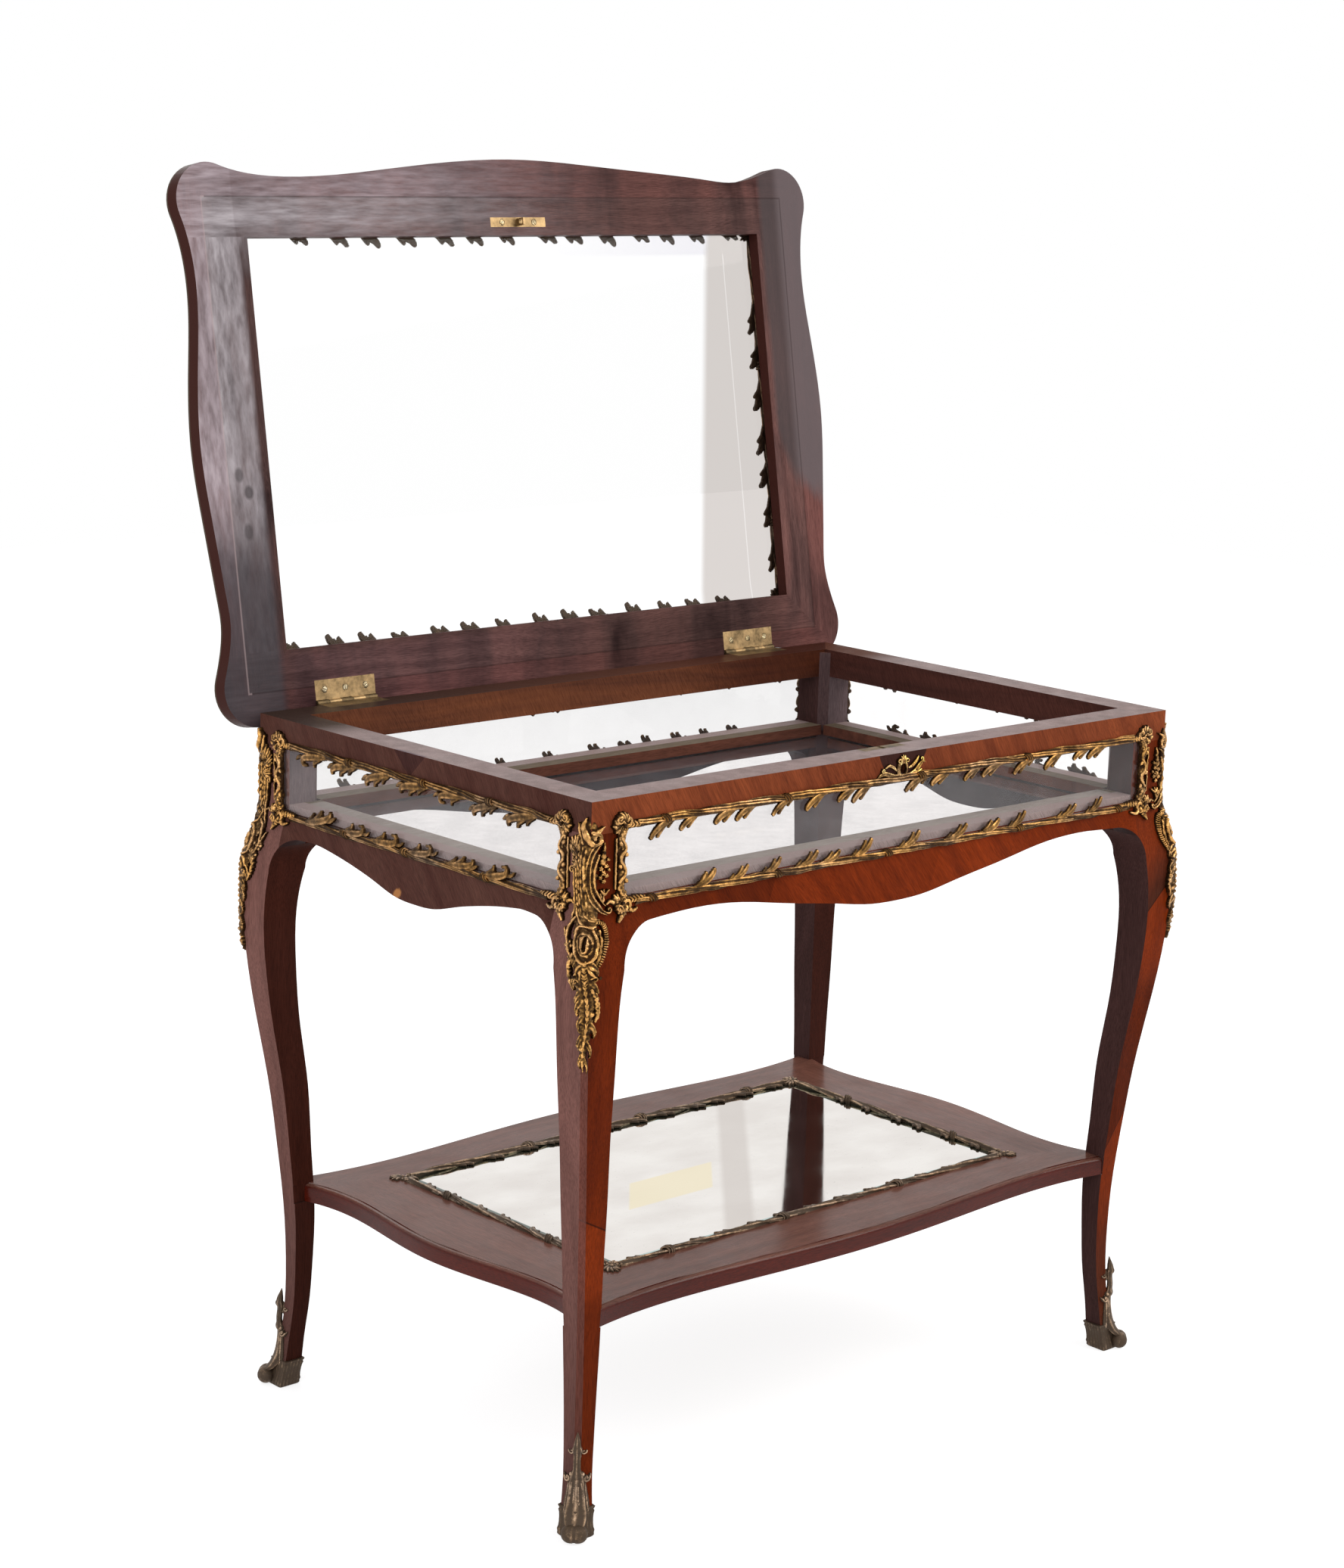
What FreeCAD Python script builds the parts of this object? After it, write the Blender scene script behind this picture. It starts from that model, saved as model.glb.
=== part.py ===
import FreeCAD, Part
import math
import os
from FreeCAD import Vector

# Collectors display table: glazed case on four cabriole legs, with a hinged serpentine lid and a
# low mirrored shelf. Millimetres. X runs along the front, the front faces -Y, +Z is up, and the
# origin is on the floor under the middle of the case. The lid stands open against its hinge stops.

# Case
CASE_WIDTH = 831.0            # over the posts, along X
CASE_DEPTH = 527.0            # over the posts, along Y
RIM_HEIGHT = 740.0            # floor to the top of the upper rails
CASE_HEIGHT = 90.0            # top of the aprons to the top of the rim
RAIL_WIDTH = 36.8
RAIL_HEIGHT = 32.0
POST_SIZE = 46.0
POST_BLOCK_DROP = 3.0         # rim to the top of the glue block in each inner corner
TENON_SIZE = 18.0             # square tenon from each post into the mitred rails
TENON_INSET = 9.0
TENON_HEIGHT = 24.0

# Legs: offsets from the case's outer faces, outwards positive. The shin's heights are shares of
# the way from the floor to the knee, and the knee's are drops below the top of the aprons.
KNEE_DROP = 128.0
SHIN_OUTER = ((0.096, -14.5), (0.172, -17.9), (0.268, -18.8), (0.383, -17.1), (0.517, -11.8),
              (0.651, -5.2), (0.785, 4.0), (0.900, 11.0), (1.0, 14.2))
KNEE_OUTER = ((90.0, 14.0), (68.0, 13.0), (50.0, 10.2), (37.0, 7.5), (21.0, 3.2), (5.0, 0.7))
KNEE_FADE = 10.0              # height above the aprons where the swell has died out
FOOT_OUTER = -8.0             # outer face at the floor
SHIN_INNER = ((0.038, -33.0), (0.109, -35.5), (0.172, -38.7), (0.268, -41.4), (0.383, -42.7),
              (0.517, -39.8), (0.651, -37.0), (0.785, -30.5), (0.900, -27.5), (1.0, -27.2))
FOOT_INNER = -31.5
ARRIS_WIDTH = 7.0             # flat worked along the outer arris
EAR_RADIUS = 41.0             # hollow corner between apron and leg
EAR_DROP = 73.0               # top of the aprons to the centre of that hollow
EAR_LEG_WIDTH = 34.0          # leg left between the hollow's lower end and the outer face

# Aprons: bottom edge as (share of the half length between posts, drop below the top)
APRON_THICKNESS = 24.0
LONG_APRON_EDGE = ((0.0, 63.7), (0.108, 62.0), (0.244, 54.0), (0.433, 43.4), (0.541, 36.4),
                   (0.663, 31.0), (0.80, 30.2))
SHORT_APRON_EDGE = ((0.0, 61.7), (0.138, 60.0), (0.313, 50.0), (0.405, 45.0), (0.524, 39.5),
                    (0.644, 35.0), (0.736, 32.4))
FLARE_RUN = 50.0              # length over which an apron's face swells out to meet the leg
APRON_TENON = (15.0, 8.0, 26.0)   # length, thickness, height
APRON_TENON_INSET = 8.0
APRON_TENON_DROP = 12.0

# Glazing
PANE_THICKNESS = 4.0
RABBET_LAP = 8.5              # how far panes run behind each post's edge
RABBET_RISE = 5.5             # how far panes run up behind the upper rails
RABBET_SINK = 9.0             # how far panes run down behind the aprons
GLASS_CLEARANCE = 0.5
FLOOR_GLASS_THICKNESS = 5.0
FLOOR_GLASS_INSET = 30.0
LEDGE_WIDTH = 20.0
LEDGE_HEIGHT = 12.0
LEDGER_SIZE = 12.0

# Lid
LID_OVERHANG_END = 35.0
LID_OVERHANG_FRONT = 38.5
LID_OVERHANG_BACK = 33.5
LID_THICKNESS = 20.0
LID_GAP = 0.4                 # closed lid above the rim
LID_SIGHT_INSET = 48.0        # opening in the lid, in from the case's size
LID_WAIST_LONG = (0.655, 21.0)    # share of the half length, how far the edge draws in there
LID_WAIST_SHORT = (0.528, 14.0)
LID_EAR_RADIUS = 40.0
LID_EAR_SET_IN = 6.5          # rounded corners stand this far inside the bellied long edges
LID_EAR_SWING = 20.0          # degrees that each rounded corner runs past its quarter
LID_GLASS_THICKNESS = 6.0
LID_GLASS_EDGE = 3.0
LID_GLASS_BEVEL = 25.0
LID_GLASS_LAP = 9.0
MOULDING_SIZE = 4.0
LID_TRIM_WIDTH = 14.0
LID_TRIM_THICKNESS = 3.0
LID_TRIM_LAP = 3.0
OPEN_ANGLE = 99.9             # degrees from closed to the hinge stops

# Hinges
HINGE_LENGTH = 78.8
HINGE_FROM_END = 118.7        # end of the case to the middle of a hinge
PIN_BEHIND = 9.8              # pin behind the case's back face
PIN_RADIUS = 1.3
KNUCKLE_RADIUS = 3.0
KNUCKLES = 5
KNUCKLE_GAP = 0.3
KNUCKLE_CLEARANCE = 0.4
PIN_CLEARANCE = 0.05
LEAF_REACH = 24.5             # pin to the far edge of a leaf
LEAF_THICKNESS = 1.6
LEAF_SCREW_REACH = 14.0
LEAF_SCREW_SPACING = 27.0

# Screws
SCREW_HEAD_RADIUS = 3.0
SCREW_HEAD_HEIGHT = 1.6
SCREW_SHANK_RADIUS = 1.4
SCREW_LENGTH = 12.0
SCREW_SLOT = 0.8

# Lock and strike
LOCK_WIDTH = 42.0
LOCK_HEIGHT = 27.0
LOCK_WALL = 1.2
SELVEDGE_WIDTH = 60.0
SELVEDGE_THICKNESS = 1.6
SELVEDGE_SIDE = 0.8            # metal left each side of the hook's slot
KEYHOLE_WIDTH = 7.5
KEYHOLE_HEIGHT = 12.0
KEYHOLE_DROP = 17.0           # rim to the middle of the keyhole
HOOK_WIDTH = 8.0
HOOK_THICKNESS = 3.0
HOOK_LENGTH = 11.0
HOOK_EYE_RADIUS = 3.0
HOOK_EYE_DROP = 6.5           # strike plate to the middle of the eye
HOOK_CLEARANCE = 1.2
BOLT_TRAVEL = 8.0
BOLT_LENGTH = 8.0
BOLT_HEIGHT = 7.0
BOLT_NOSE_RADIUS = 2.0
BOLT_NOSE_LENGTH = 5.0
BOLT_CLEARANCE = 0.3
STRIKE_WIDTH = 79.2
STRIKE_DEPTH = 10.6
STRIKE_THICKNESS = 1.6
STRIKE_SCREW_SPACING = 46.0
ESCUTCHEON_WIDTH = 66.0
ESCUTCHEON_HEIGHT = 22.5
ESCUTCHEON_RISE = 2.5         # its middle above the keyhole's
ESCUTCHEON_THICKNESS = 3.0

# Shelf
SHELF_TOP = 230.65
SHELF_THICKNESS = 20.0
SHELF_SEAT = 41.1             # case's outer face to the leg's housing for the shelf
SHELF_BULGE_LONG = 12.5       # middle of the long edges in from the case's faces
SHELF_BULGE_SHORT = 24.5
SHELF_WAIST_LONG = (0.735, 14.5)  # share of the half length between legs, draw-in there
SHELF_WAIST_SHORT = (0.697, 16.0)
SHELF_HORN_LONG = 5.0         # draw-in of the long edges where they meet the legs
SHELF_HORN_SHORT = 6.0
SHELF_STEP = 1.0
SHELF_STEP_INSET = 5.5
SHELF_ROUND = 5.0
MIRROR_INSET_X = 129.9        # mirror's sight edge in from the case's faces
MIRROR_INSET_Y = 99.4
MIRROR_LAP = 6.0
MIRROR_THICKNESS = 4.0
BACKING_THICKNESS = 5.0
BACKING_SEAT = 12.0
MIRROR_TRIM_WIDTH = 22.0
MIRROR_TRIM_HEIGHT = 4.0
DOWEL_RADIUS = 4.0
DOWEL_LENGTH = 24.0
DOWEL_INSET = 12.0            # from the housing's corner to the dowel's axis

# Bronze mounts
SABOT_BASE = 2.0
SABOT_HEIGHT = 30.0
SABOT_WALL = 2.0
TOE_RADIUS = 10.0
TOE_WIDTH = 16.0
TOE_REACH = 0.5               # toe's tip past the case's faces, measured on the diagonal
TONGUE_TOP = 108.0
TONGUE_WIDTH = 9.0
CHUTE_TOP_DROP = 20.0         # rim to the chute's head
CHUTE_TAIL_DROP = 166.0       # top of the aprons to the chute's tail
CHUTE_PROUD = 7.0
CHUTE_WING = 22.0
CHUTE_TAIL_WING = 6.0
TRIM_PROUD = 6.0
TRIM_BAR_OUT = 28.5           # outer edge of the upright bars, in from the case's corners
TRIM_BAR_IN = 43.5
TRIM_TOP_BAR = (23.2, 30.5)   # drops below the rim
TRIM_LOW_BAR = (95.5, 104.0)
ROSETTE_RADIUS = 15.0
ROSETTE_PROUD = 7.5
ROSETTE_INSET = 38.5
ROSETTE_TOP_DROP = 25.0
ROSETTE_LOW_DROP = 99.5
ROSETTE_PIN_SHIFT = 3.0       # fixing pins stand this far outwards of the rosettes' middles
MOUNT_PIN_RADIUS = 0.9
MOUNT_PIN_HEAD = 1.6
MOUNT_PIN_HEAD_HEIGHT = 0.8
MOUNT_PIN_DEPTH = 10.0        # how far a pin goes into the wood

# Worked out from the above
APRON_TOP = RIM_HEIGHT - CASE_HEIGHT
KNEE_HEIGHT = APRON_TOP - KNEE_DROP
RAIL_UNDERSIDE = RIM_HEIGHT - RAIL_HEIGHT
RABBET_DEPTH = PANE_THICKNESS + GLASS_CLEARANCE
HALF_WIDTH = CASE_WIDTH / 2
HALF_DEPTH = CASE_DEPTH / 2
EAR_CENTRE = -(EAR_LEG_WIDTH + EAR_RADIUS)
EAR_END_HEIGHT = APRON_TOP - EAR_DROP + math.sqrt(EAR_RADIUS ** 2 - (POST_SIZE + EAR_CENTRE) ** 2)
PIN_Y = HALF_DEPTH + PIN_BEHIND
LID_HALF_LENGTH = HALF_WIDTH + LID_OVERHANG_END
LID_HALF_DEPTH = HALF_DEPTH + (LID_OVERHANG_FRONT + LID_OVERHANG_BACK) / 2
LID_CENTRE_Y = (LID_OVERHANG_BACK - LID_OVERHANG_FRONT) / 2
LID_UNDERSIDE = RIM_HEIGHT + LID_GAP
LID_TOP = LID_UNDERSIDE + LID_THICKNESS
SIGHT_X = HALF_WIDTH - LID_SIGHT_INSET
SIGHT_Y = HALF_DEPTH - LID_SIGHT_INSET
LOCK_DEPTH = HOOK_WIDTH + 2 * (HOOK_CLEARANCE + SELVEDGE_SIDE)
LOCK_Y = -HALF_DEPTH + RAIL_WIDTH - LOCK_DEPTH / 2
SELVEDGE_UNDERSIDE = RIM_HEIGHT - SELVEDGE_THICKNESS
KEYHOLE_Z = RIM_HEIGHT - KEYHOLE_DROP

SIDES = (("front", 0, CASE_WIDTH, HALF_DEPTH), ("right", 90, CASE_DEPTH, HALF_WIDTH),
         ("back", 180, CASE_WIDTH, HALF_DEPTH), ("left", 270, CASE_DEPTH, HALF_WIDTH))
CORNERS = (("front_left", True, True), ("front_right", False, True),
           ("back_left", True, False), ("back_right", False, False))
UP = Vector(0, 0, 1)
ORIGIN = Vector(0, 0, 0)


# ---- Shared helpers

def box(x_low, x_high, y_low, y_high, z_low, z_high):
    return Part.makeBox(x_high - x_low, y_high - y_low, z_high - z_low, Vector(x_low, y_low, z_low))


def prism(points, z_low, z_high):
    """Upright prism over a polygon given as (x, y) corners."""
    corners = [Vector(x, y, z_low) for x, y in points]
    face = Part.Face(Part.makePolygon(corners + corners[:1]))
    return face.extrude(UP * (z_high - z_low))


def rod(radius, start, direction, length):
    return Part.makeCylinder(radius, length, start, direction)


def spline(points, first=None, last=None):
    """Smooth edge through points, with set end directions where given."""
    curve = Part.BSplineCurve()
    if first is None:
        curve.interpolate(points)
    else:
        curve.interpolate(Points=points, InitialTangent=first, FinalTangent=last)
    return curve


def mirrored(shape, to_left, to_front):
    """Copy of a piece drawn at the back right corner, carried to another corner."""
    if to_left:
        shape = shape.mirror(ORIGIN, Vector(1, 0, 0))
    if to_front:
        shape = shape.mirror(ORIGIN, Vector(0, 1, 0))
    return shape


def turned(shape, angle):
    """Copy of a piece drawn at the front, carried to another side."""
    shape = shape.copy()
    shape.rotate(ORIGIN, UP, angle)
    return shape


def opened(shape):
    """Copy of a piece drawn with the lid closed, swung open about the hinge pins."""
    shape = shape.copy()
    shape.rotate(Vector(0, PIN_Y, RIM_HEIGHT), Vector(1, 0, 0), -OPEN_ANGLE)
    return shape


def cut_all(shape, tools):
    for tool in tools:
        shape = shape.cut(tool)
    return shape


def fused(shapes):
    return shapes[0].multiFuse(shapes[1:]).removeSplitter()


def save(name, solids):
    """Write one node, as one solid or as a group of like solids."""
    if not isinstance(solids, list):
        solids = [solids]
    kept = [solid for shape in solids for solid in shape.Solids]
    shape = kept[0] if len(kept) == 1 else Part.makeCompound(kept)
    shape.exportStep("parts/" + name + ".step")


# ---- Leg shape, in corner coordinates: (0, 0) is the case's outer corner, outwards is positive

def shin(stations):
    return [Vector(offset, 0, share * KNEE_HEIGHT) for share, offset in stations]


def leg_outer_curve(stretch=1.0, shift=0.0):
    """Outer line of the leg from the floor to the end of the swell, its offsets scaled and moved."""
    points = [Vector(FOOT_OUTER, 0, SABOT_BASE)] + shin(SHIN_OUTER)
    points += [Vector(offset, 0, APRON_TOP - drop) for drop, offset in KNEE_OUTER]
    points.append(Vector(0, 0, APRON_TOP + KNEE_FADE))
    return spline([Vector(p.x * stretch + shift, 0, p.z) for p in points])


OUTER_CURVE = leg_outer_curve()


def leg_offset(z):
    """Outer face's offset at height z."""
    if z >= APRON_TOP + KNEE_FADE:
        return 0.0
    low = OUTER_CURVE.FirstParameter
    high = OUTER_CURVE.LastParameter
    for _ in range(40):
        middle = (low + high) / 2
        if OUTER_CURVE.value(middle).z < z:
            low = middle
        else:
            high = middle
    return OUTER_CURVE.value(low).x


def outside_profile(curve, top, reach):
    """Flat face in XZ between a rising curve and a far line at x = reach."""
    start = curve.StartPoint
    end = curve.EndPoint
    corners = [end, Vector(end.x, 0, top), Vector(reach, 0, top), Vector(reach, 0, start.z), start]
    return Part.Face(Part.Wire([curve.toShape()] + Part.makePolygon(corners).Edges))


def diagonal_tool(curve, top, reach, width):
    """Solid beyond a curve drawn in the upright plane through the arris, as wide as given."""
    tool = outside_profile(curve, top, reach).extrude(Vector(0, width, 0))
    tool.translate(Vector(0, -width / 2, 0))
    tool.rotate(ORIGIN, UP, 45)
    return tool


def square_from(profile, span_low, span_high):
    """Solid square in plan whose two outlines are the same profile, drawn in XZ."""
    one = profile.extrude(Vector(0, span_high - span_low, 0))
    one.translate(Vector(0, span_low, 0))
    other = one.mirror(ORIGIN, Vector(1, -1, 0))
    return one.common(other)


def leg_profile():
    inner = spline([Vector(FOOT_INNER, 0, SABOT_BASE)] + shin(SHIN_INNER)
                   + [Vector(-EAR_LEG_WIDTH, 0, APRON_TOP - EAR_DROP)])
    ear_angle = math.asin((EAR_END_HEIGHT - APRON_TOP + EAR_DROP) / EAR_RADIUS) / 2
    ear_middle = Vector(EAR_CENTRE + EAR_RADIUS * math.cos(ear_angle), 0,
                        APRON_TOP - EAR_DROP + EAR_RADIUS * math.sin(ear_angle))
    ear = Part.Arc(inner.EndPoint, ear_middle, Vector(-POST_SIZE, 0, EAR_END_HEIGHT))
    outer_end = OUTER_CURVE.EndPoint
    top = [ear.EndPoint, Vector(-POST_SIZE, 0, RAIL_UNDERSIDE), Vector(0, 0, RAIL_UNDERSIDE), outer_end]
    edges = [inner.toShape(), ear.toShape()] + Part.makePolygon(top).Edges + [OUTER_CURVE.toShape()]
    edges.append(Part.makeLine(OUTER_CURVE.StartPoint, inner.StartPoint))
    return Part.Face(Part.Wire(Part.__sortEdges__(edges)))


def post_corner(z_low, z_high):
    """Inner corner of a post that its chamfer takes off."""
    far = -POST_SIZE - 1
    return prism([(far, far), (-RAIL_WIDTH + 1, far), (far, -RAIL_WIDTH + 1)], z_low, z_high)


def tenon():
    far = TENON_INSET + TENON_SIZE
    return box(-far, -TENON_INSET, -far, -TENON_INSET, RAIL_UNDERSIDE, RAIL_UNDERSIDE + TENON_HEIGHT)


def apron_tenon():
    """Tenon of the apron that runs along X, in corner coordinates."""
    length, thickness, height = APRON_TENON
    top = APRON_TOP - APRON_TENON_DROP
    return box(-POST_SIZE, -POST_SIZE + length, -APRON_TENON_INSET - thickness, -APRON_TENON_INSET,
               top - height, top)


def across(shape):
    """Copy with X and Y exchanged, for the other face of a corner."""
    return shape.mirror(ORIGIN, Vector(1, -1, 0))


def pane_rabbet():
    return box(-POST_SIZE - 1, -POST_SIZE + RABBET_LAP, -RABBET_DEPTH, POST_SIZE,
               APRON_TOP - RABBET_SINK, RAIL_UNDERSIDE)


def shelf_housing():
    """Space that the shelf's notched corner takes in the leg."""
    far = POST_SIZE + 20
    low = SHELF_TOP - SHELF_THICKNESS
    return box(-far, -SHELF_SEAT, -far, 0, low, SHELF_TOP)


def dowel():
    """Dowel from the shelf into a leg, along X, in corner coordinates."""
    start = Vector(-SHELF_SEAT - DOWEL_LENGTH / 2, -SHELF_SEAT + DOWEL_INSET,
                   SHELF_TOP - SHELF_THICKNESS / 2)
    return rod(DOWEL_RADIUS, start, Vector(1, 0, 0), DOWEL_LENGTH)


def leg():
    body = square_from(leg_profile(), -POST_SIZE - 20, POST_SIZE)
    arris = leg_outer_curve(math.sqrt(2), -ARRIS_WIDTH / 2)
    body = body.cut(diagonal_tool(arris, RIM_HEIGHT, POST_SIZE, POST_SIZE))
    body = body.cut(post_corner(EAR_END_HEIGHT, RAIL_UNDERSIDE))
    block = prism([(-RAIL_WIDTH, -POST_SIZE), (-RAIL_WIDTH, -RAIL_WIDTH), (-POST_SIZE, -RAIL_WIDTH)],
                  RAIL_UNDERSIDE, RIM_HEIGHT - POST_BLOCK_DROP)
    body = fused([body, block, tenon()])
    tools = [pane_rabbet(), across(pane_rabbet()), apron_tenon(), across(apron_tenon()),
             shelf_housing(), across(shelf_housing()), dowel()]
    return cut_all(body, tools)


# ---- Bronze corner mounts, in corner coordinates

def sabot(leg_body):
    """Foot mount: cuff round the foot, scrolled toe on the diagonal, tongue up the arris."""
    low = FOOT_INNER - SABOT_WALL
    high = FOOT_OUTER + SABOT_WALL
    slope = leg_offset(SABOT_HEIGHT) - FOOT_OUTER
    section = [Vector(low, 0, 0), Vector(high, 0, 0), Vector(high + slope, 0, SABOT_HEIGHT),
               Vector(low + slope / 2, 0, SABOT_HEIGHT), Vector(low, 0, 0)]
    cuff = square_from(Part.Face(Part.makePolygon(section)), -2 * POST_SIZE, POST_SIZE)
    toe_q = TOE_REACH * math.sqrt(2) - TOE_RADIUS
    toe = rod(TOE_RADIUS, Vector(toe_q, -TOE_WIDTH / 2, TOE_RADIUS), Vector(0, 1, 0), TOE_WIDTH)
    toe.rotate(ORIGIN, UP, 45)
    root_two = math.sqrt(2)
    inner = leg_outer_curve(root_two, -ARRIS_WIDTH / 2 - SABOT_WALL)
    outer = leg_outer_curve(root_two, -ARRIS_WIDTH / 2 + SABOT_WALL)
    tongue = diagonal_tool(inner, RIM_HEIGHT, POST_SIZE, TONGUE_WIDTH)
    tongue = tongue.cut(diagonal_tool(outer, RIM_HEIGHT, POST_SIZE + 1, POST_SIZE))
    tongue = tongue.common(box(-POST_SIZE, POST_SIZE, -POST_SIZE, POST_SIZE, SABOT_BASE, TONGUE_TOP))
    return fused([cuff, toe, tongue]).cut(leg_body)


def chute_profile():
    """Face in XZ that holds the mount's metal, from its wing's inner line to its outer line."""
    top = RIM_HEIGHT - CHUTE_TOP_DROP
    tail = APRON_TOP - CHUTE_TAIL_DROP
    wing_end = APRON_TOP - EAR_DROP
    knee = APRON_TOP + KNEE_FADE
    steps = 6
    heights = [tail + (knee - tail) * step / steps for step in range(steps + 1)]
    outer = spline([Vector(leg_offset(z) + CHUTE_PROUD, 0, z) for z in heights])
    corners = [outer.EndPoint, Vector(CHUTE_PROUD, 0, top), Vector(-CHUTE_WING, 0, top),
               Vector(-CHUTE_WING, 0, knee), Vector(leg_offset(wing_end) - CHUTE_WING, 0, wing_end),
               Vector(leg_offset(tail) - CHUTE_TAIL_WING, 0, tail), outer.StartPoint]
    return Part.Face(Part.Wire([outer.toShape()] + Part.makePolygon(corners).Edges))


def chute(leg_body):
    """Knee mount wrapped round the arris, from under the rim to its tail on the shin."""
    metal = square_from(chute_profile(), -POST_SIZE, POST_SIZE)
    case_corner = box(-POST_SIZE, 0, -POST_SIZE, 0, APRON_TOP - RABBET_SINK, RIM_HEIGHT)
    return metal.cut(leg_body).cut(case_corner)


def mount_pin(head, direction, through):
    """Round-headed pin through bronze of the given thickness and on into the wood."""
    cap = rod(MOUNT_PIN_HEAD, head - direction * MOUNT_PIN_HEAD_HEIGHT, direction, MOUNT_PIN_HEAD_HEIGHT)
    shank = rod(MOUNT_PIN_RADIUS, head, direction, through + MOUNT_PIN_DEPTH)
    return fused([cap, shank])


def corner_pins():
    """Pins that hold one chute, through each of its two wings."""
    pins = []
    for height in (RAIL_UNDERSIDE - RAIL_HEIGHT / 2, APRON_TOP - EAR_DROP):
        face = leg_offset(height)
        head = Vector(face - CHUTE_WING / 2, face + CHUTE_PROUD, height)
        pin = mount_pin(head, Vector(0, -1, 0), CHUTE_PROUD)
        pins += [pin, across(pin)]
    return pins


# ---- Case sides, drawn at the front; reach is from the table's middle to the outer face

def mitred_bar(length, reach, width, z_low, z_high):
    half = length / 2
    return prism([(-half, -reach), (half, -reach), (half - width, width - reach),
                  (width - half, width - reach)], z_low, z_high)


def upper_rail(length, reach):
    rail = mitred_bar(length, reach, RAIL_WIDTH, RAIL_UNDERSIDE, RIM_HEIGHT)
    half_pane = length / 2 - POST_SIZE + RABBET_LAP
    rabbet = box(-half_pane, half_pane, -reach - 1, -reach + RABBET_DEPTH,
                 RAIL_UNDERSIDE - 1, RAIL_UNDERSIDE + RABBET_RISE)
    socket = tenon().mirror(ORIGIN, Vector(0, 1, 0))
    right = socket.copy()
    right.translate(Vector(length / 2, -reach, 0))
    left = right.mirror(ORIGIN, Vector(1, 0, 0))
    return cut_all(rail, [rabbet, right, left])


def apron_outline(length, edge):
    """Face in XZ, between posts, with the shaped bottom edge."""
    half = length / 2 - POST_SIZE
    ear_start = length / 2 + EAR_CENTRE
    ear_top = APRON_TOP - EAR_DROP + EAR_RADIUS
    right = [Vector(share * half, 0, APRON_TOP - drop) for share, drop in edge]
    right.append(Vector(ear_start, 0, ear_top))
    left = [Vector(-point.x, 0, point.z) for point in reversed(right[1:])]
    bottom = spline(left + right, Vector(1, 0, 0), Vector(1, 0, 0))
    lean = math.asin((half - ear_start) / EAR_RADIUS) / 2
    middle = Vector(ear_start + EAR_RADIUS * math.sin(lean), 0,
                    APRON_TOP - EAR_DROP + EAR_RADIUS * math.cos(lean))
    ear = Part.Arc(right[-1], middle, Vector(half, 0, EAR_END_HEIGHT)).toShape()
    other_ear = ear.mirror(ORIGIN, Vector(1, 0, 0))
    rim = Part.makePolygon([Vector(half, 0, EAR_END_HEIGHT), Vector(half, 0, APRON_TOP),
                            Vector(-half, 0, APRON_TOP), Vector(-half, 0, EAR_END_HEIGHT)])
    return Part.Face(Part.Wire(Part.__sortEdges__([bottom.toShape(), ear, other_ear] + rim.Edges)))


def flare_tool(length, reach):
    """Solid in front of the right end of an apron's face, where it swells out to the leg."""
    half = length / 2 - POST_SIZE
    across_steps = 8
    up_steps = 12
    low = APRON_TOP - EAR_DROP
    rise = APRON_TOP + 1 - low
    grid = []
    for i in range(across_steps + 1):
        share = i / across_steps
        ease = share * share * (3 - 2 * share)
        x = half - FLARE_RUN + FLARE_RUN * share
        heights = [low + rise * j / up_steps for j in range(up_steps + 1)]
        grid.append([Vector(x, -reach - ease * leg_offset(z), z) for z in heights])
    surface = Part.BSplineSurface()
    surface.interpolate(grid)
    return surface.toShape().extrude(Vector(0, -2 * POST_SIZE, 0))


def apron(length, reach, edge):
    half = length / 2 - POST_SIZE
    room = max(offset for _, offset in KNEE_OUTER) + 2
    board = apron_outline(length, edge).extrude(Vector(0, room + APRON_THICKNESS, 0))
    board.translate(Vector(0, -reach - room, 0))
    plain = half - FLARE_RUN
    end = flare_tool(length, reach)
    tools = [box(-plain, plain, -reach - 2 * room, -reach, 0, RIM_HEIGHT), end,
             end.mirror(ORIGIN, Vector(1, 0, 0)),
             box(-half - 1, half + 1, -reach - 2 * room, -reach + RABBET_DEPTH,
                 APRON_TOP - RABBET_SINK, RIM_HEIGHT)]
    board = cut_all(board, tools)
    right = apron_tenon().mirror(ORIGIN, Vector(0, 1, 0))
    right.translate(Vector(length / 2, -reach, 0))
    return fused([board, right, right.mirror(ORIGIN, Vector(1, 0, 0))])


def pane(length, reach):
    half = length / 2 - POST_SIZE + RABBET_LAP - GLASS_CLEARANCE
    back = -reach + RABBET_DEPTH
    return box(-half, half, back - PANE_THICKNESS, back, APRON_TOP - RABBET_SINK,
               RAIL_UNDERSIDE + RABBET_RISE - GLASS_CLEARANCE)


def ledge_strip(length, reach):
    half = length / 2 - POST_SIZE
    back = -reach + APRON_THICKNESS
    return box(-half, half, back, back + LEDGE_WIDTH, APRON_TOP - LEDGE_HEIGHT, APRON_TOP)


def ledger(length, reach):
    half = length / 2 - POST_SIZE
    back = -reach + APRON_THICKNESS
    top = APRON_TOP - LEDGE_HEIGHT - FLOOR_GLASS_THICKNESS
    return box(-half, half, back, back + LEDGER_SIZE, top - LEDGER_SIZE, top)


def floor_glass():
    x = HALF_WIDTH - FLOOR_GLASS_INSET
    y = HALF_DEPTH - FLOOR_GLASS_INSET
    clip = HALF_WIDTH + HALF_DEPTH - POST_SIZE - RAIL_WIDTH - 4 * GLASS_CLEARANCE
    outline = [(x, clip - x), (clip - y, y), (y - clip, y), (-x, clip - x),
               (-x, x - clip), (y - clip, -y), (clip - y, -y), (x, x - clip)]
    top = APRON_TOP - LEDGE_HEIGHT
    return prism(outline, top - FLOOR_GLASS_THICKNESS, top)


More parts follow.
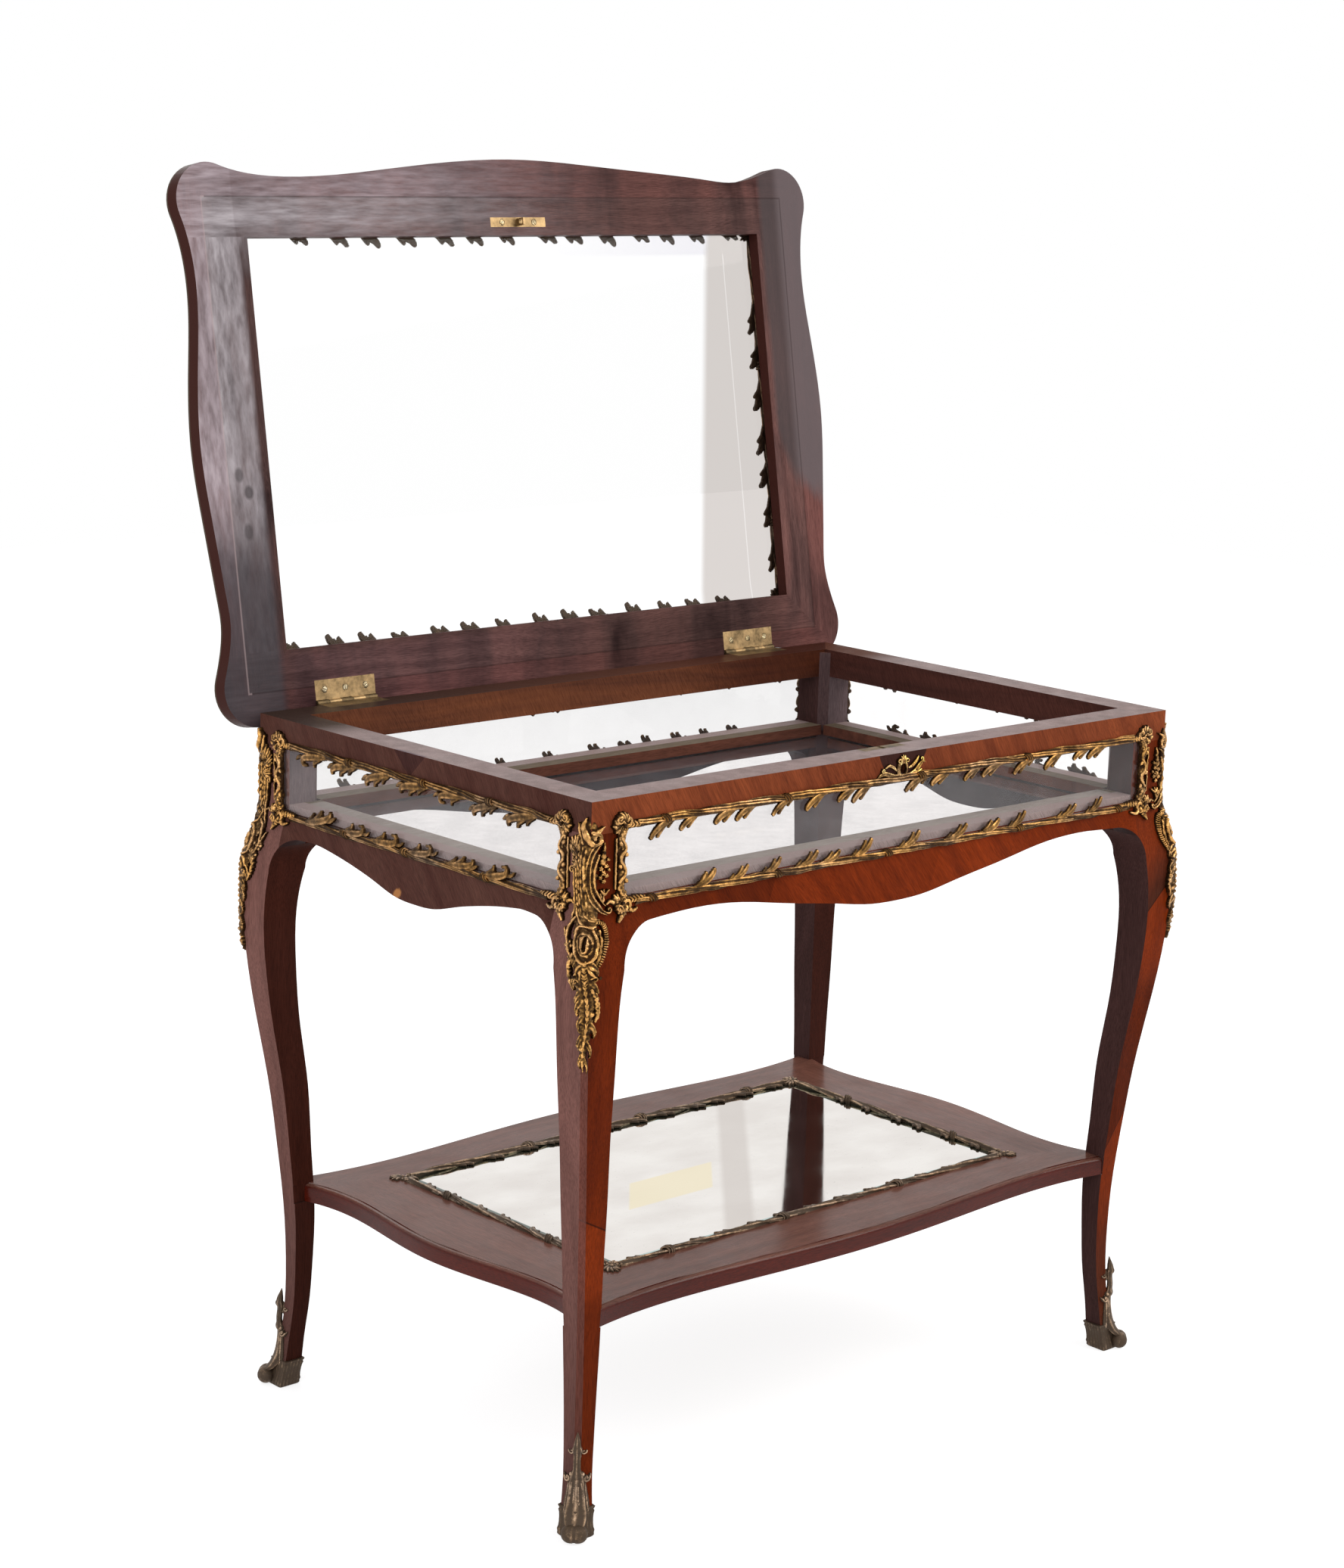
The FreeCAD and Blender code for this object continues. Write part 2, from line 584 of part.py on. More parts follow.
def side_trim(length, reach):
    """Bronze frame round one side pane, with a rosette at each corner."""
    out = length / 2 - TRIM_BAR_OUT
    inner = length / 2 - TRIM_BAR_IN
    levels = [RIM_HEIGHT - drop for drop in TRIM_TOP_BAR + TRIM_LOW_BAR]
    face = -reach - TRIM_PROUD
    frame = box(-out, out, face, -reach, levels[3], levels[0])
    frame = frame.makeFillet(TRIM_PROUD / 3, [edge for edge in frame.Edges
                                              if edge.BoundBox.YMax < face + 0.1])
    frame = frame.cut(box(-inner, inner, face - 1, -reach + 1, levels[2], levels[1]))
    pieces = [frame]
    for x in (-length / 2 + ROSETTE_INSET, length / 2 - ROSETTE_INSET):
        for drop in (ROSETTE_TOP_DROP, ROSETTE_LOW_DROP):
            pieces.append(rod(ROSETTE_RADIUS, Vector(x, -reach, RIM_HEIGHT - drop), Vector(0, -1, 0),
                              ROSETTE_PROUD))
    return fused(pieces)


def swell_tool(length, reach):
    """Swollen outer part of the two posts of one side, below the end of the swell."""
    low = APRON_TOP - EAR_DROP
    steps = 8
    heights = [low + (APRON_TOP + KNEE_FADE - low) * step / steps for step in range(steps + 1)]
    curve = spline([Vector(0, -leg_offset(z), z) for z in heights])
    back = Part.makePolygon([curve.EndPoint, Vector(0, POST_SIZE, curve.EndPoint.z),
                             Vector(0, POST_SIZE, low), curve.StartPoint])
    face = Part.Face(Part.Wire([curve.toShape()] + back.Edges))
    tool = face.extrude(Vector(POST_SIZE, 0, 0))
    tool.translate(Vector(length / 2 - POST_SIZE, -reach, 0))
    return [tool, tool.mirror(ORIGIN, Vector(1, 0, 0))]


def side_pins(length, reach):
    pins = []
    inset = ROSETTE_INSET - ROSETTE_PIN_SHIFT
    for x in (-length / 2 + inset, length / 2 - inset):
        for drop in (ROSETTE_TOP_DROP, ROSETTE_LOW_DROP):
            head = Vector(x, -reach - ROSETTE_PROUD, RIM_HEIGHT - drop)
            pins.append(mount_pin(head, Vector(0, 1, 0), ROSETTE_PROUD))
    return pins


# ---- Screws, drawn pointing down with the head's top at the origin

def screw_body():
    head = Part.makeCone(SCREW_HEAD_RADIUS, SCREW_SHANK_RADIUS, SCREW_HEAD_HEIGHT, ORIGIN, -UP)
    return fused([head, rod(SCREW_SHANK_RADIUS, ORIGIN, -UP, SCREW_LENGTH)])


def screw():
    slot = box(-2 * SCREW_HEAD_RADIUS, 2 * SCREW_HEAD_RADIUS, -SCREW_SLOT / 2, SCREW_SLOT / 2,
               -SCREW_SLOT, 1)
    return screw_body().cut(slot)


def at(shape, x, y, z, upwards=False):
    """Copy set at a place, pointing up instead of down where asked."""
    shape = shape.copy()
    if upwards:
        shape.rotate(ORIGIN, Vector(1, 0, 0), 180)
    shape.translate(Vector(x, y, z))
    return shape


# ---- Hinges, drawn closed

def hinge_centres():
    centre = HALF_WIDTH - HINGE_FROM_END
    return (("left", -centre), ("right", centre))


def hinge_screw_places():
    spots = (-LEAF_SCREW_SPACING, 0, LEAF_SCREW_SPACING)
    return [(centre + spot, PIN_Y - LEAF_SCREW_REACH) for _, centre in hinge_centres() for spot in spots]


def knuckle_rods(radius, centre, first, gap):
    """Every second knuckle, from the given one, as rods about the pin."""
    pitch = HINGE_LENGTH / KNUCKLES
    rods = []
    for index in range(first, KNUCKLES, 2):
        start = Vector(centre - HINGE_LENGTH / 2 + index * pitch + gap / 2, PIN_Y, RIM_HEIGHT)
        rods.append(rod(radius, start, Vector(1, 0, 0), pitch - gap))
    return rods


def leaf_slab(centre, z_low, far):
    return box(centre - HINGE_LENGTH / 2, centre + HINGE_LENGTH / 2, PIN_Y - LEAF_REACH, far,
               z_low, z_low + LEAF_THICKNESS)


def hinge_leaf(centre, z_low, own, holes):
    """Leaf with its own knuckles; own is the index of the first of them."""
    slab = leaf_slab(centre, z_low, PIN_Y)
    room = knuckle_rods(KNUCKLE_RADIUS + KNUCKLE_CLEARANCE, centre, 1 - own, -KNUCKLE_GAP)
    slab = cut_all(slab, room)
    leaf = fused([slab] + knuckle_rods(KNUCKLE_RADIUS, centre, own, KNUCKLE_GAP))
    bore_start = Vector(centre - HINGE_LENGTH, PIN_Y, RIM_HEIGHT)
    bore = rod(PIN_RADIUS + PIN_CLEARANCE, bore_start, Vector(1, 0, 0), 2 * HINGE_LENGTH)
    return cut_all(leaf, [bore] + holes)


def hinge_pin(centre):
    start = Vector(centre - HINGE_LENGTH / 2, PIN_Y, RIM_HEIGHT)
    return rod(PIN_RADIUS, start, Vector(1, 0, 0), HINGE_LENGTH)


def knuckle_recess(centre):
    start = Vector(centre - HINGE_LENGTH / 2 - KNUCKLE_CLEARANCE, PIN_Y, RIM_HEIGHT)
    return rod(KNUCKLE_RADIUS + KNUCKLE_CLEARANCE, start, Vector(1, 0, 0),
               HINGE_LENGTH + 2 * KNUCKLE_CLEARANCE)


# ---- Lid, drawn closed

def serpentine(half_length, half_depth, waist, end):
    """Bellied and waisted line along X at y = half_depth, ending at a point with its direction."""
    share, draw_in = waist
    x = share * half_length
    right = [Vector(0, half_depth, 0), Vector(x / 2, half_depth - 0.42 * draw_in, 0),
             Vector(x, half_depth - draw_in, 0), end[0]]
    left = [Vector(-point.x, point.y, 0) for point in reversed(right[1:])]
    return spline(left + right, Vector(end[1].x, -end[1].y, 0), end[1])


def lid_outline(inset):
    """Closed wire of the lid's edge at height 0 about its own middle, drawn in by inset."""
    radius = LID_EAR_RADIUS - inset
    centre = Vector(LID_HALF_LENGTH - LID_EAR_RADIUS, LID_HALF_DEPTH - LID_EAR_SET_IN - LID_EAR_RADIUS, 0)

    def ear_point(degrees):
        turn = math.radians(degrees)
        return centre + Vector(math.cos(turn), math.sin(turn), 0) * radius

    swing = math.radians(LID_EAR_SWING)
    on_long = ear_point(90 + LID_EAR_SWING)
    on_short = ear_point(-LID_EAR_SWING)
    long_edge = serpentine(LID_HALF_LENGTH, LID_HALF_DEPTH - inset, LID_WAIST_LONG,
                           (on_long, Vector(math.cos(swing), math.sin(swing), 0))).toShape()
    swapped = (Vector(on_short.y, on_short.x, 0), Vector(math.cos(swing), math.sin(swing), 0))
    short_edge = serpentine(LID_HALF_DEPTH, LID_HALF_LENGTH - inset, LID_WAIST_SHORT, swapped).toShape()
    short_edge = across(short_edge)
    ear = Part.Arc(on_long, ear_point(45), on_short).toShape()
    edges = [long_edge, long_edge.mirror(ORIGIN, Vector(0, 1, 0)), short_edge,
             short_edge.mirror(ORIGIN, Vector(1, 0, 0))]
    edges += [mirrored(ear, to_left, to_front) for _, to_left, to_front in CORNERS]
    return Part.Wire(Part.__sortEdges__(edges))


def lid_slab(inset, z_low, z_high):
    face = Part.Face(lid_outline(inset))
    face.translate(Vector(0, LID_CENTRE_Y, z_low))
    return face.extrude(UP * (z_high - z_low))


def lid_box(half_x, half_y, z_low, z_high):
    return box(-half_x, half_x, LID_CENTRE_Y - half_y, LID_CENTRE_Y + half_y, z_low, z_high)


def lid_board():
    """Whole lid frame before it is divided at the mitres."""
    lap = LID_GLASS_LAP
    lower = lid_slab(0, LID_UNDERSIDE, LID_TOP - MOULDING_SIZE)
    upper = lid_slab(MOULDING_SIZE, LID_TOP - MOULDING_SIZE, LID_TOP)
    frame = fused([lower, upper])
    sight = lid_box(SIGHT_X, SIGHT_Y, LID_UNDERSIDE - 1, LID_TOP + 1)
    rabbet = lid_box(SIGHT_X + lap, SIGHT_Y + lap, LID_TOP - LID_GLASS_THICKNESS, LID_TOP + 1)
    tools = [sight, rabbet, strike_slab()]
    for _, centre in hinge_centres():
        tools += [knuckle_recess(centre), leaf_slab(centre, LID_UNDERSIDE, PIN_Y)]
    return cut_all(frame, tools)


def mitre_regions():
    """Plan of each frame member, between the mitres from the opening to the rounded corners."""
    centre_x = LID_HALF_LENGTH - LID_EAR_RADIUS
    centre_y = LID_HALF_DEPTH - LID_EAR_SET_IN - LID_EAR_RADIUS
    diagonal = LID_EAR_RADIUS * math.cos(math.pi / 4)
    far_x = SIGHT_X + 2 * (centre_x + diagonal - SIGHT_X)
    far_y = SIGHT_Y + 2 * (centre_y + diagonal - SIGHT_Y)
    along = [(-SIGHT_X, -SIGHT_Y), (-far_x, -far_y), (far_x, -far_y), (SIGHT_X, -SIGHT_Y)]
    beside = [(SIGHT_X, -SIGHT_Y), (far_x, -far_y), (far_x, far_y), (SIGHT_X, SIGHT_Y)]
    return (("front", along), ("right", beside), ("back", [(-x, -y) for x, y in along]),
            ("left", [(-x, -y) for x, y in beside]))


def lid_members(holes):
    board = cut_all(lid_board(), holes)
    members = {}
    for name, region in mitre_regions():
        plan = [(x, y + LID_CENTRE_Y) for x, y in region]
        members[name] = board.common(prism(plan, LID_UNDERSIDE - 1, LID_TOP + 1))
    return members


def lid_glass():
    half_x = SIGHT_X + LID_GLASS_LAP - GLASS_CLEARANCE
    half_y = SIGHT_Y + LID_GLASS_LAP - GLASS_CLEARANCE
    low = LID_TOP - LID_GLASS_THICKNESS
    plate = lid_box(half_x, half_y, low, low + LID_GLASS_EDGE)
    base = rectangle(half_x, half_y, low + LID_GLASS_EDGE)
    crown = rectangle(half_x - LID_GLASS_BEVEL, half_y - LID_GLASS_BEVEL, LID_TOP)
    return fused([plate, Part.makeLoft([base, crown], True, True)])


def rectangle(half_x, half_y, z):
    corners = [Vector(x, y + LID_CENTRE_Y, z) for x, y in ((-half_x, -half_y), (half_x, -half_y),
                                                           (half_x, half_y), (-half_x, half_y))]
    return Part.makePolygon(corners + corners[:1])


def lid_glass_trim():
    """Bronze ring on the lid's top, with a lip that holds the pane down in its rabbet."""
    outer = LID_TRIM_WIDTH
    ring = lid_box(SIGHT_X + outer, SIGHT_Y + outer, LID_TOP, LID_TOP + LID_TRIM_THICKNESS)
    top_edges = [edge for edge in ring.Edges if edge.BoundBox.ZMin > LID_TOP + 1]
    ring = ring.makeFillet(LID_TRIM_THICKNESS / 3, top_edges)
    lip = LID_GLASS_LAP - GLASS_CLEARANCE
    rise = (LID_GLASS_THICKNESS - LID_GLASS_EDGE) * (lip / LID_GLASS_BEVEL)
    lip_low = LID_TOP - LID_GLASS_THICKNESS + LID_GLASS_EDGE + rise + GLASS_CLEARANCE / 5
    lip_ring = lid_box(SIGHT_X + lip, SIGHT_Y + lip, lip_low, LID_TOP)
    lap = LID_TRIM_LAP
    hole = lid_box(SIGHT_X - lap, SIGHT_Y - lap, LID_TOP, LID_TOP + LID_TRIM_THICKNESS + 1)
    lip_hole = lid_box(SIGHT_X, SIGHT_Y, LID_UNDERSIDE, LID_TOP)
    return fused([ring.cut(hole), lip_ring.cut(lip_hole)])


def lid_edge_moulding():
    ring = lid_slab(0, LID_TOP - MOULDING_SIZE, LID_TOP)
    rim = [edge for edge in ring.Edges if edge.BoundBox.ZMin > LID_TOP - 0.1]
    ring = ring.makeFillet(MOULDING_SIZE / 2, rim)
    return ring.cut(lid_slab(MOULDING_SIZE, LID_TOP - MOULDING_SIZE - 1, LID_TOP + 1))


# ---- Strike plate, drawn closed, and lock

def strike_slab():
    return box(-STRIKE_WIDTH / 2, STRIKE_WIDTH / 2, LOCK_Y - STRIKE_DEPTH / 2, LOCK_Y + STRIKE_DEPTH / 2,
               LID_UNDERSIDE, LID_UNDERSIDE + STRIKE_THICKNESS)


def strike_screw_places():
    return [(-STRIKE_SCREW_SPACING / 2, LOCK_Y), (STRIKE_SCREW_SPACING / 2, LOCK_Y)]


def strike_plate(holes):
    hook = box(-HOOK_THICKNESS / 2, HOOK_THICKNESS / 2, LOCK_Y - HOOK_WIDTH / 2, LOCK_Y + HOOK_WIDTH / 2,
               LID_UNDERSIDE - HOOK_LENGTH, LID_UNDERSIDE + STRIKE_THICKNESS)
    eye = rod(HOOK_EYE_RADIUS, Vector(-HOOK_THICKNESS, LOCK_Y, LID_UNDERSIDE - HOOK_EYE_DROP),
              Vector(1, 0, 0), 2 * HOOK_THICKNESS)
    return cut_all(fused([strike_slab(), hook]), [eye] + holes)


def keyhole(y_low, y_high):
    """Upright slot with round ends, along Y."""
    radius = KEYHOLE_WIDTH / 2
    rise = KEYHOLE_HEIGHT / 2 - radius
    ends = [rod(radius, Vector(0, y_low, KEYHOLE_Z + shift), Vector(0, 1, 0), y_high - y_low)
            for shift in (-rise, rise)]
    middle = box(-radius, radius, y_low, y_high, KEYHOLE_Z - rise, KEYHOLE_Z + rise)
    return fused(ends + [middle])


def lock_block(wall):
    """Outside of the lock case, or its inside where a wall is given."""
    half = LOCK_WIDTH / 2 - wall
    depth = LOCK_DEPTH / 2 - wall
    top = SELVEDGE_UNDERSIDE + (1 if wall else 0)
    return box(-half, half, LOCK_Y - depth, LOCK_Y + depth, RIM_HEIGHT - LOCK_HEIGHT + wall, top)


def lock_case():
    front = LOCK_Y - LOCK_DEPTH / 2
    return cut_all(lock_block(0), [lock_block(LOCK_WALL), keyhole(front - 1, front + LOCK_WALL + 1)])


def selvedge_slab():
    return box(-SELVEDGE_WIDTH / 2, SELVEDGE_WIDTH / 2, LOCK_Y - LOCK_DEPTH / 2, LOCK_Y + LOCK_DEPTH / 2,
               SELVEDGE_UNDERSIDE, RIM_HEIGHT)


def lock_screw_places():
    x = SELVEDGE_WIDTH / 2 - 1.5 * SCREW_HEAD_RADIUS
    return [(-x, LOCK_Y), (x, LOCK_Y)]


def lock_selvedge(holes):
    half_x = HOOK_THICKNESS / 2 + HOOK_CLEARANCE
    half_y = HOOK_WIDTH / 2 + HOOK_CLEARANCE
    slot = box(-half_x, half_x, LOCK_Y - half_y, LOCK_Y + half_y, SELVEDGE_UNDERSIDE - 1, RIM_HEIGHT + 1)
    return cut_all(selvedge_slab(), [slot] + holes)


def lock_bolt():
    """Sliding bolt, drawn back clear of the hook."""
    depth = LOCK_DEPTH / 2 - LOCK_WALL - BOLT_CLEARANCE
    z = LID_UNDERSIDE - HOOK_EYE_DROP
    tip = HOOK_THICKNESS / 2 + HOOK_CLEARANCE - BOLT_TRAVEL
    shoulder = tip - BOLT_NOSE_LENGTH
    body = box(shoulder - BOLT_LENGTH, shoulder, LOCK_Y - depth, LOCK_Y + depth,
               z - BOLT_HEIGHT / 2, z + BOLT_HEIGHT / 2)
    nose = rod(BOLT_NOSE_RADIUS, Vector(shoulder, LOCK_Y, z), Vector(1, 0, 0), BOLT_NOSE_LENGTH)
    return fused([body, nose])


def escutcheon():
    """Shield round the keyhole, pinched at its sides."""
    half_x = ESCUTCHEON_WIDTH / 2
    half_z = ESCUTCHEON_HEIGHT / 2
    steps = 16
    points = []
    for step in range(steps):
        turn = 2 * math.pi * step / steps
        swell = 0.86 + 0.14 * math.cos(4 * turn)
        z = KEYHOLE_Z + ESCUTCHEON_RISE + half_z * math.sin(turn)
        points.append(Vector(half_x * swell * math.cos(turn), -HALF_DEPTH, z))
    curve = Part.BSplineCurve()
    curve.interpolate(Points=points, PeriodicFlag=True)
    shield = Part.Face(Part.Wire(curve.toShape())).extrude(Vector(0, -ESCUTCHEON_THICKNESS, 0))
    return shield.cut(keyhole(-HALF_DEPTH - 2 * ESCUTCHEON_THICKNESS, -HALF_DEPTH + 1))


# ---- Shelf

def shelf_edge(half, reach, waist, horn, inset):
    """Serpentine line along X at y = reach, from leg to leg."""
    share, draw_in = waist
    right = [Vector(0, reach - inset, 0), Vector(share * half / 2, reach - inset - 0.45 * draw_in, 0),
             Vector(share * half, reach - inset - draw_in, 0), Vector(half, reach - inset - horn, 0)]
    left = [Vector(-point.x, point.y, 0) for point in reversed(right[1:])]
    return spline(left + right).toShape()


def shelf_outline(inset):
    seat_x = HALF_WIDTH - SHELF_SEAT
    seat_y = HALF_DEPTH - SHELF_SEAT
    long_edge = shelf_edge(seat_x, HALF_DEPTH - SHELF_BULGE_LONG, SHELF_WAIST_LONG, SHELF_HORN_LONG, inset)
    short_edge = across(shelf_edge(seat_y, HALF_WIDTH - SHELF_BULGE_SHORT, SHELF_WAIST_SHORT,
                                   SHELF_HORN_SHORT, inset))
    edges = [long_edge, long_edge.mirror(ORIGIN, Vector(0, 1, 0)), short_edge,
             short_edge.mirror(ORIGIN, Vector(1, 0, 0))]
    long_end = HALF_DEPTH - SHELF_BULGE_LONG - SHELF_HORN_LONG - inset
    short_end = HALF_WIDTH - SHELF_BULGE_SHORT - SHELF_HORN_SHORT - inset
    notch = Part.makePolygon([Vector(seat_x, long_end, 0), Vector(seat_x, seat_y, 0),
                              Vector(short_end, seat_y, 0)])
    for _, to_left, to_front in CORNERS:
        edges += mirrored(notch, to_left, to_front).Edges
    return Part.Face(Part.Wire(Part.__sortEdges__(edges)))


def shelf_board():
    """Whole shelf frame before it is divided at the mitres."""
    low = SHELF_TOP - SHELF_THICKNESS
    step_z = SHELF_TOP - SHELF_STEP
    lower = shelf_outline(0)
    lower.translate(UP * low)
    lower = lower.extrude(UP * (step_z - low))
    top_edges = [edge for edge in lower.Edges if edge.BoundBox.ZMin > step_z - 0.1]
    curved = [edge for edge in top_edges if edge.Length > 4 * POST_SIZE]
    lower = lower.makeFillet(SHELF_ROUND - 0.01, curved)
    upper = shelf_outline(SHELF_STEP_INSET)
    upper.translate(UP * step_z)
    upper = upper.extrude(UP * SHELF_STEP)
    frame = fused([lower, upper])
    sight_x, sight_y = mirror_sight()
    bed_x = sight_x + MIRROR_LAP - BACKING_SEAT
    bed_y = sight_y + MIRROR_LAP - BACKING_SEAT
    seat = step_z - MIRROR_THICKNESS - BACKING_THICKNESS
    through = box(-bed_x, bed_x, -bed_y, bed_y, low - 1, SHELF_TOP + 1)
    rabbet_x = sight_x + MIRROR_LAP
    rabbet_y = sight_y + MIRROR_LAP
    rabbet = box(-rabbet_x, rabbet_x, -rabbet_y, rabbet_y, seat, SHELF_TOP + 1)
    return cut_all(frame, [through, rabbet] + shelf_dowels())


def mirror_sight():
    return HALF_WIDTH - MIRROR_INSET_X, HALF_DEPTH - MIRROR_INSET_Y


def shelf_members():
    board = shelf_board()
    sight_x, sight_y = mirror_sight()
    in_x = sight_x + MIRROR_LAP - BACKING_SEAT
    in_y = sight_y + MIRROR_LAP - BACKING_SEAT
    out_x = 2 * (HALF_WIDTH - SHELF_SEAT) - in_x
    out_y = 2 * (HALF_DEPTH - SHELF_SEAT) - in_y
    along = [(-in_x, -in_y), (-out_x, -out_y), (out_x, -out_y), (in_x, -in_y)]
    beside = [(in_x, -in_y), (out_x, -out_y), (out_x, out_y), (in_x, in_y)]
    regions = (("front", along), ("right", beside), ("back", [(-x, -y) for x, y in along]),
               ("left", [(-x, -y) for x, y in beside]))
    return {name: board.common(prism(plan, 0, RIM_HEIGHT)) for name, plan in regions}


def shelf_dowels():
    one = dowel()
    one.translate(Vector(HALF_WIDTH, HALF_DEPTH, 0))
    return [mirrored(one, to_left, to_front) for _, to_left, to_front in CORNERS]


def mirror_plate(z_low, thickness):
    sight_x, sight_y = mirror_sight()
    x = sight_x + MIRROR_LAP - GLASS_CLEARANCE
    y = sight_y + MIRROR_LAP - GLASS_CLEARANCE
    return box(-x, x, -y, y, z_low, z_low + thickness)


def mirror_trim():
    """Bronze ring on the shelf, with a lip down on the mirror's edge."""
    sight_x, sight_y = mirror_sight()
    out = MIRROR_TRIM_WIDTH
    lap = MIRROR_LAP - GLASS_CLEARANCE
    ring = box(-sight_x - out, sight_x + out, -sight_y - out, sight_y + out, SHELF_TOP,
               SHELF_TOP + MIRROR_TRIM_HEIGHT)
    top_edges = [edge for edge in ring.Edges if edge.BoundBox.ZMin > SHELF_TOP + 1]
    ring = ring.makeFillet(MIRROR_TRIM_HEIGHT / 2, top_edges)
    lip = box(-sight_x - lap, sight_x + lap, -sight_y - lap, sight_y + lap,
              SHELF_TOP - SHELF_STEP, SHELF_TOP)
    hole = box(-sight_x, sight_x, -sight_y, sight_y, 0, RIM_HEIGHT)
    return fused([ring, lip]).cut(hole)


# ---- Assembly

def build_corners():
    leg_body = leg()
    pins = corner_pins()
    bronze = chute(leg_body)
    foot = sabot(leg_body)
    rosette_pins = []
    for name, angle, length, reach in SIDES[1:3]:
        rosette_pins += [turned(pin, angle) for pin in side_pins(length, reach)]
    for shape in [leg_body, bronze, foot] + pins:
        shape.translate(Vector(HALF_WIDTH, HALF_DEPTH, 0))
    leg_body = cut_all(leg_body, rosette_pins + pins)
    bronze = cut_all(bronze, pins)
    all_pins = []
    for name, to_left, to_front in CORNERS:
        save("leg_" + name, mirrored(leg_body, to_left, to_front))
        save("chute_" + name, mirrored(bronze, to_left, to_front))
        save("sabot_" + name, mirrored(foot, to_left, to_front))
        all_pins += [mirrored(pin, to_left, to_front) for pin in pins]
    return all_pins


def build_sides(case_holes):
    """Rails, aprons, panes, ledges and bronze frames of the four sides."""
    frame_cuts = {"front": [escutcheon()]}
    pins = []
    ledges = []
    ledgers = []
    for name, angle, length, reach in SIDES:
        edge = LONG_APRON_EDGE if length == CASE_WIDTH else SHORT_APRON_EDGE
        own_pins = side_pins(length, reach)
        rail = cut_all(upper_rail(length, reach), own_pins)
        rail = cut_all(turned(rail, angle), case_holes.get(name, []))
        board = apron(length, reach, edge)
        trim = cut_all(side_trim(length, reach), [board] + swell_tool(length, reach) + own_pins)
        save("upper_rail_" + name, rail)
        save("apron_" + name, turned(board, angle))
        save("side_pane_" + name, turned(pane(length, reach), angle))
        trim = cut_all(turned(trim, angle), frame_cuts.get(name, []))
        save("pane_frame_" + name, trim)
        ledges.append(turned(ledge_strip(length, reach), angle))
        ledgers.append(turned(ledger(length, reach), angle))
        pins += [turned(pin, angle) for pin in own_pins]
    save("ledge_strips", ledges)
    save("floor_ledgers", ledgers)
    return pins


def build_hinges_and_lock():
    """Write the fittings and return the holes they need in the case and in the lid."""
    rim_places = hinge_screw_places()
    plain = screw_body()
    fixed_holes = [at(plain, x, y, RIM_HEIGHT) for x, y in rim_places]
    moving_holes = [at(plain, x, y, LID_UNDERSIDE, True) for x, y in rim_places]
    lock_holes = [at(plain, x, y, RIM_HEIGHT) for x, y in lock_screw_places()]
    strike_holes = [at(plain, x, y, LID_UNDERSIDE, True) for x, y in strike_screw_places()]
    for side, centre in hinge_centres():
        save("hinge_fixed_leaf_" + side, hinge_leaf(centre, RIM_HEIGHT - LEAF_THICKNESS, 0, fixed_holes))
        moving = hinge_leaf(centre, LID_UNDERSIDE, 1, moving_holes)
        save("hinge_moving_leaf_" + side, opened(moving))
    save("hinge_pins", [hinge_pin(centre) for _, centre in hinge_centres()])
    slotted = screw()
    case_places = rim_places + lock_screw_places()
    save("case_screws", [at(slotted, x, y, RIM_HEIGHT) for x, y in case_places])
    lid_places = rim_places + strike_screw_places()
    save("lid_screws", [opened(at(slotted, x, y, LID_UNDERSIDE, True)) for x, y in lid_places])
    save("strike_plate", opened(strike_plate(strike_holes)))
    save("lock_case", cut_all(lock_case(), lock_holes))
    save("lock_selvedge", lock_selvedge(lock_holes))
    save("lock_bolt", lock_bolt())
    save("escutcheon", escutcheon())
    leaf_recesses = [leaf_slab(centre, RIM_HEIGHT - LEAF_THICKNESS, PIN_Y) for _, centre in hinge_centres()]
    key_way = keyhole(-HALF_DEPTH - 1, LOCK_Y)
    case_holes = {"back": leaf_recesses + fixed_holes,
                  "front": [lock_block(0), selvedge_slab(), key_way] + lock_holes}
    return case_holes, moving_holes + strike_holes


def build_lid(holes):
    for name, member in lid_members(holes).items():
        save("lid_frame_" + name, opened(member))
    save("lid_glass", opened(lid_glass()))
    save("lid_glass_trim", opened(lid_glass_trim()))
    save("lid_edge_moulding", opened(lid_edge_moulding()))


def build_shelf():
    for name, member in shelf_members().items():
        save("shelf_frame_" + name, member)
    mirror_low = SHELF_TOP - SHELF_STEP - MIRROR_THICKNESS
    save("shelf_mirror", mirror_plate(mirror_low, MIRROR_THICKNESS))
    save("mirror_backing", mirror_plate(mirror_low - BACKING_THICKNESS, BACKING_THICKNESS))
    save("mirror_trim", mirror_trim())
    save("shelf_dowels", shelf_dowels())


def main():
    os.makedirs("parts", exist_ok=True)
    case_holes, lid_holes = build_hinges_and_lock()
    pins = build_corners()
    pins += build_sides(case_holes)
    save("mount_pins", pins)
    save("floor_glass", floor_glass())
    build_lid(lid_holes)
    build_shelf()


main()
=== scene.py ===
import math

import bpy
import numpy as np
from bpy.props import FloatProperty, FloatVectorProperty, IntProperty, PointerProperty
from mathutils import Matrix, Vector
from mathutils.bvhtree import BVHTree


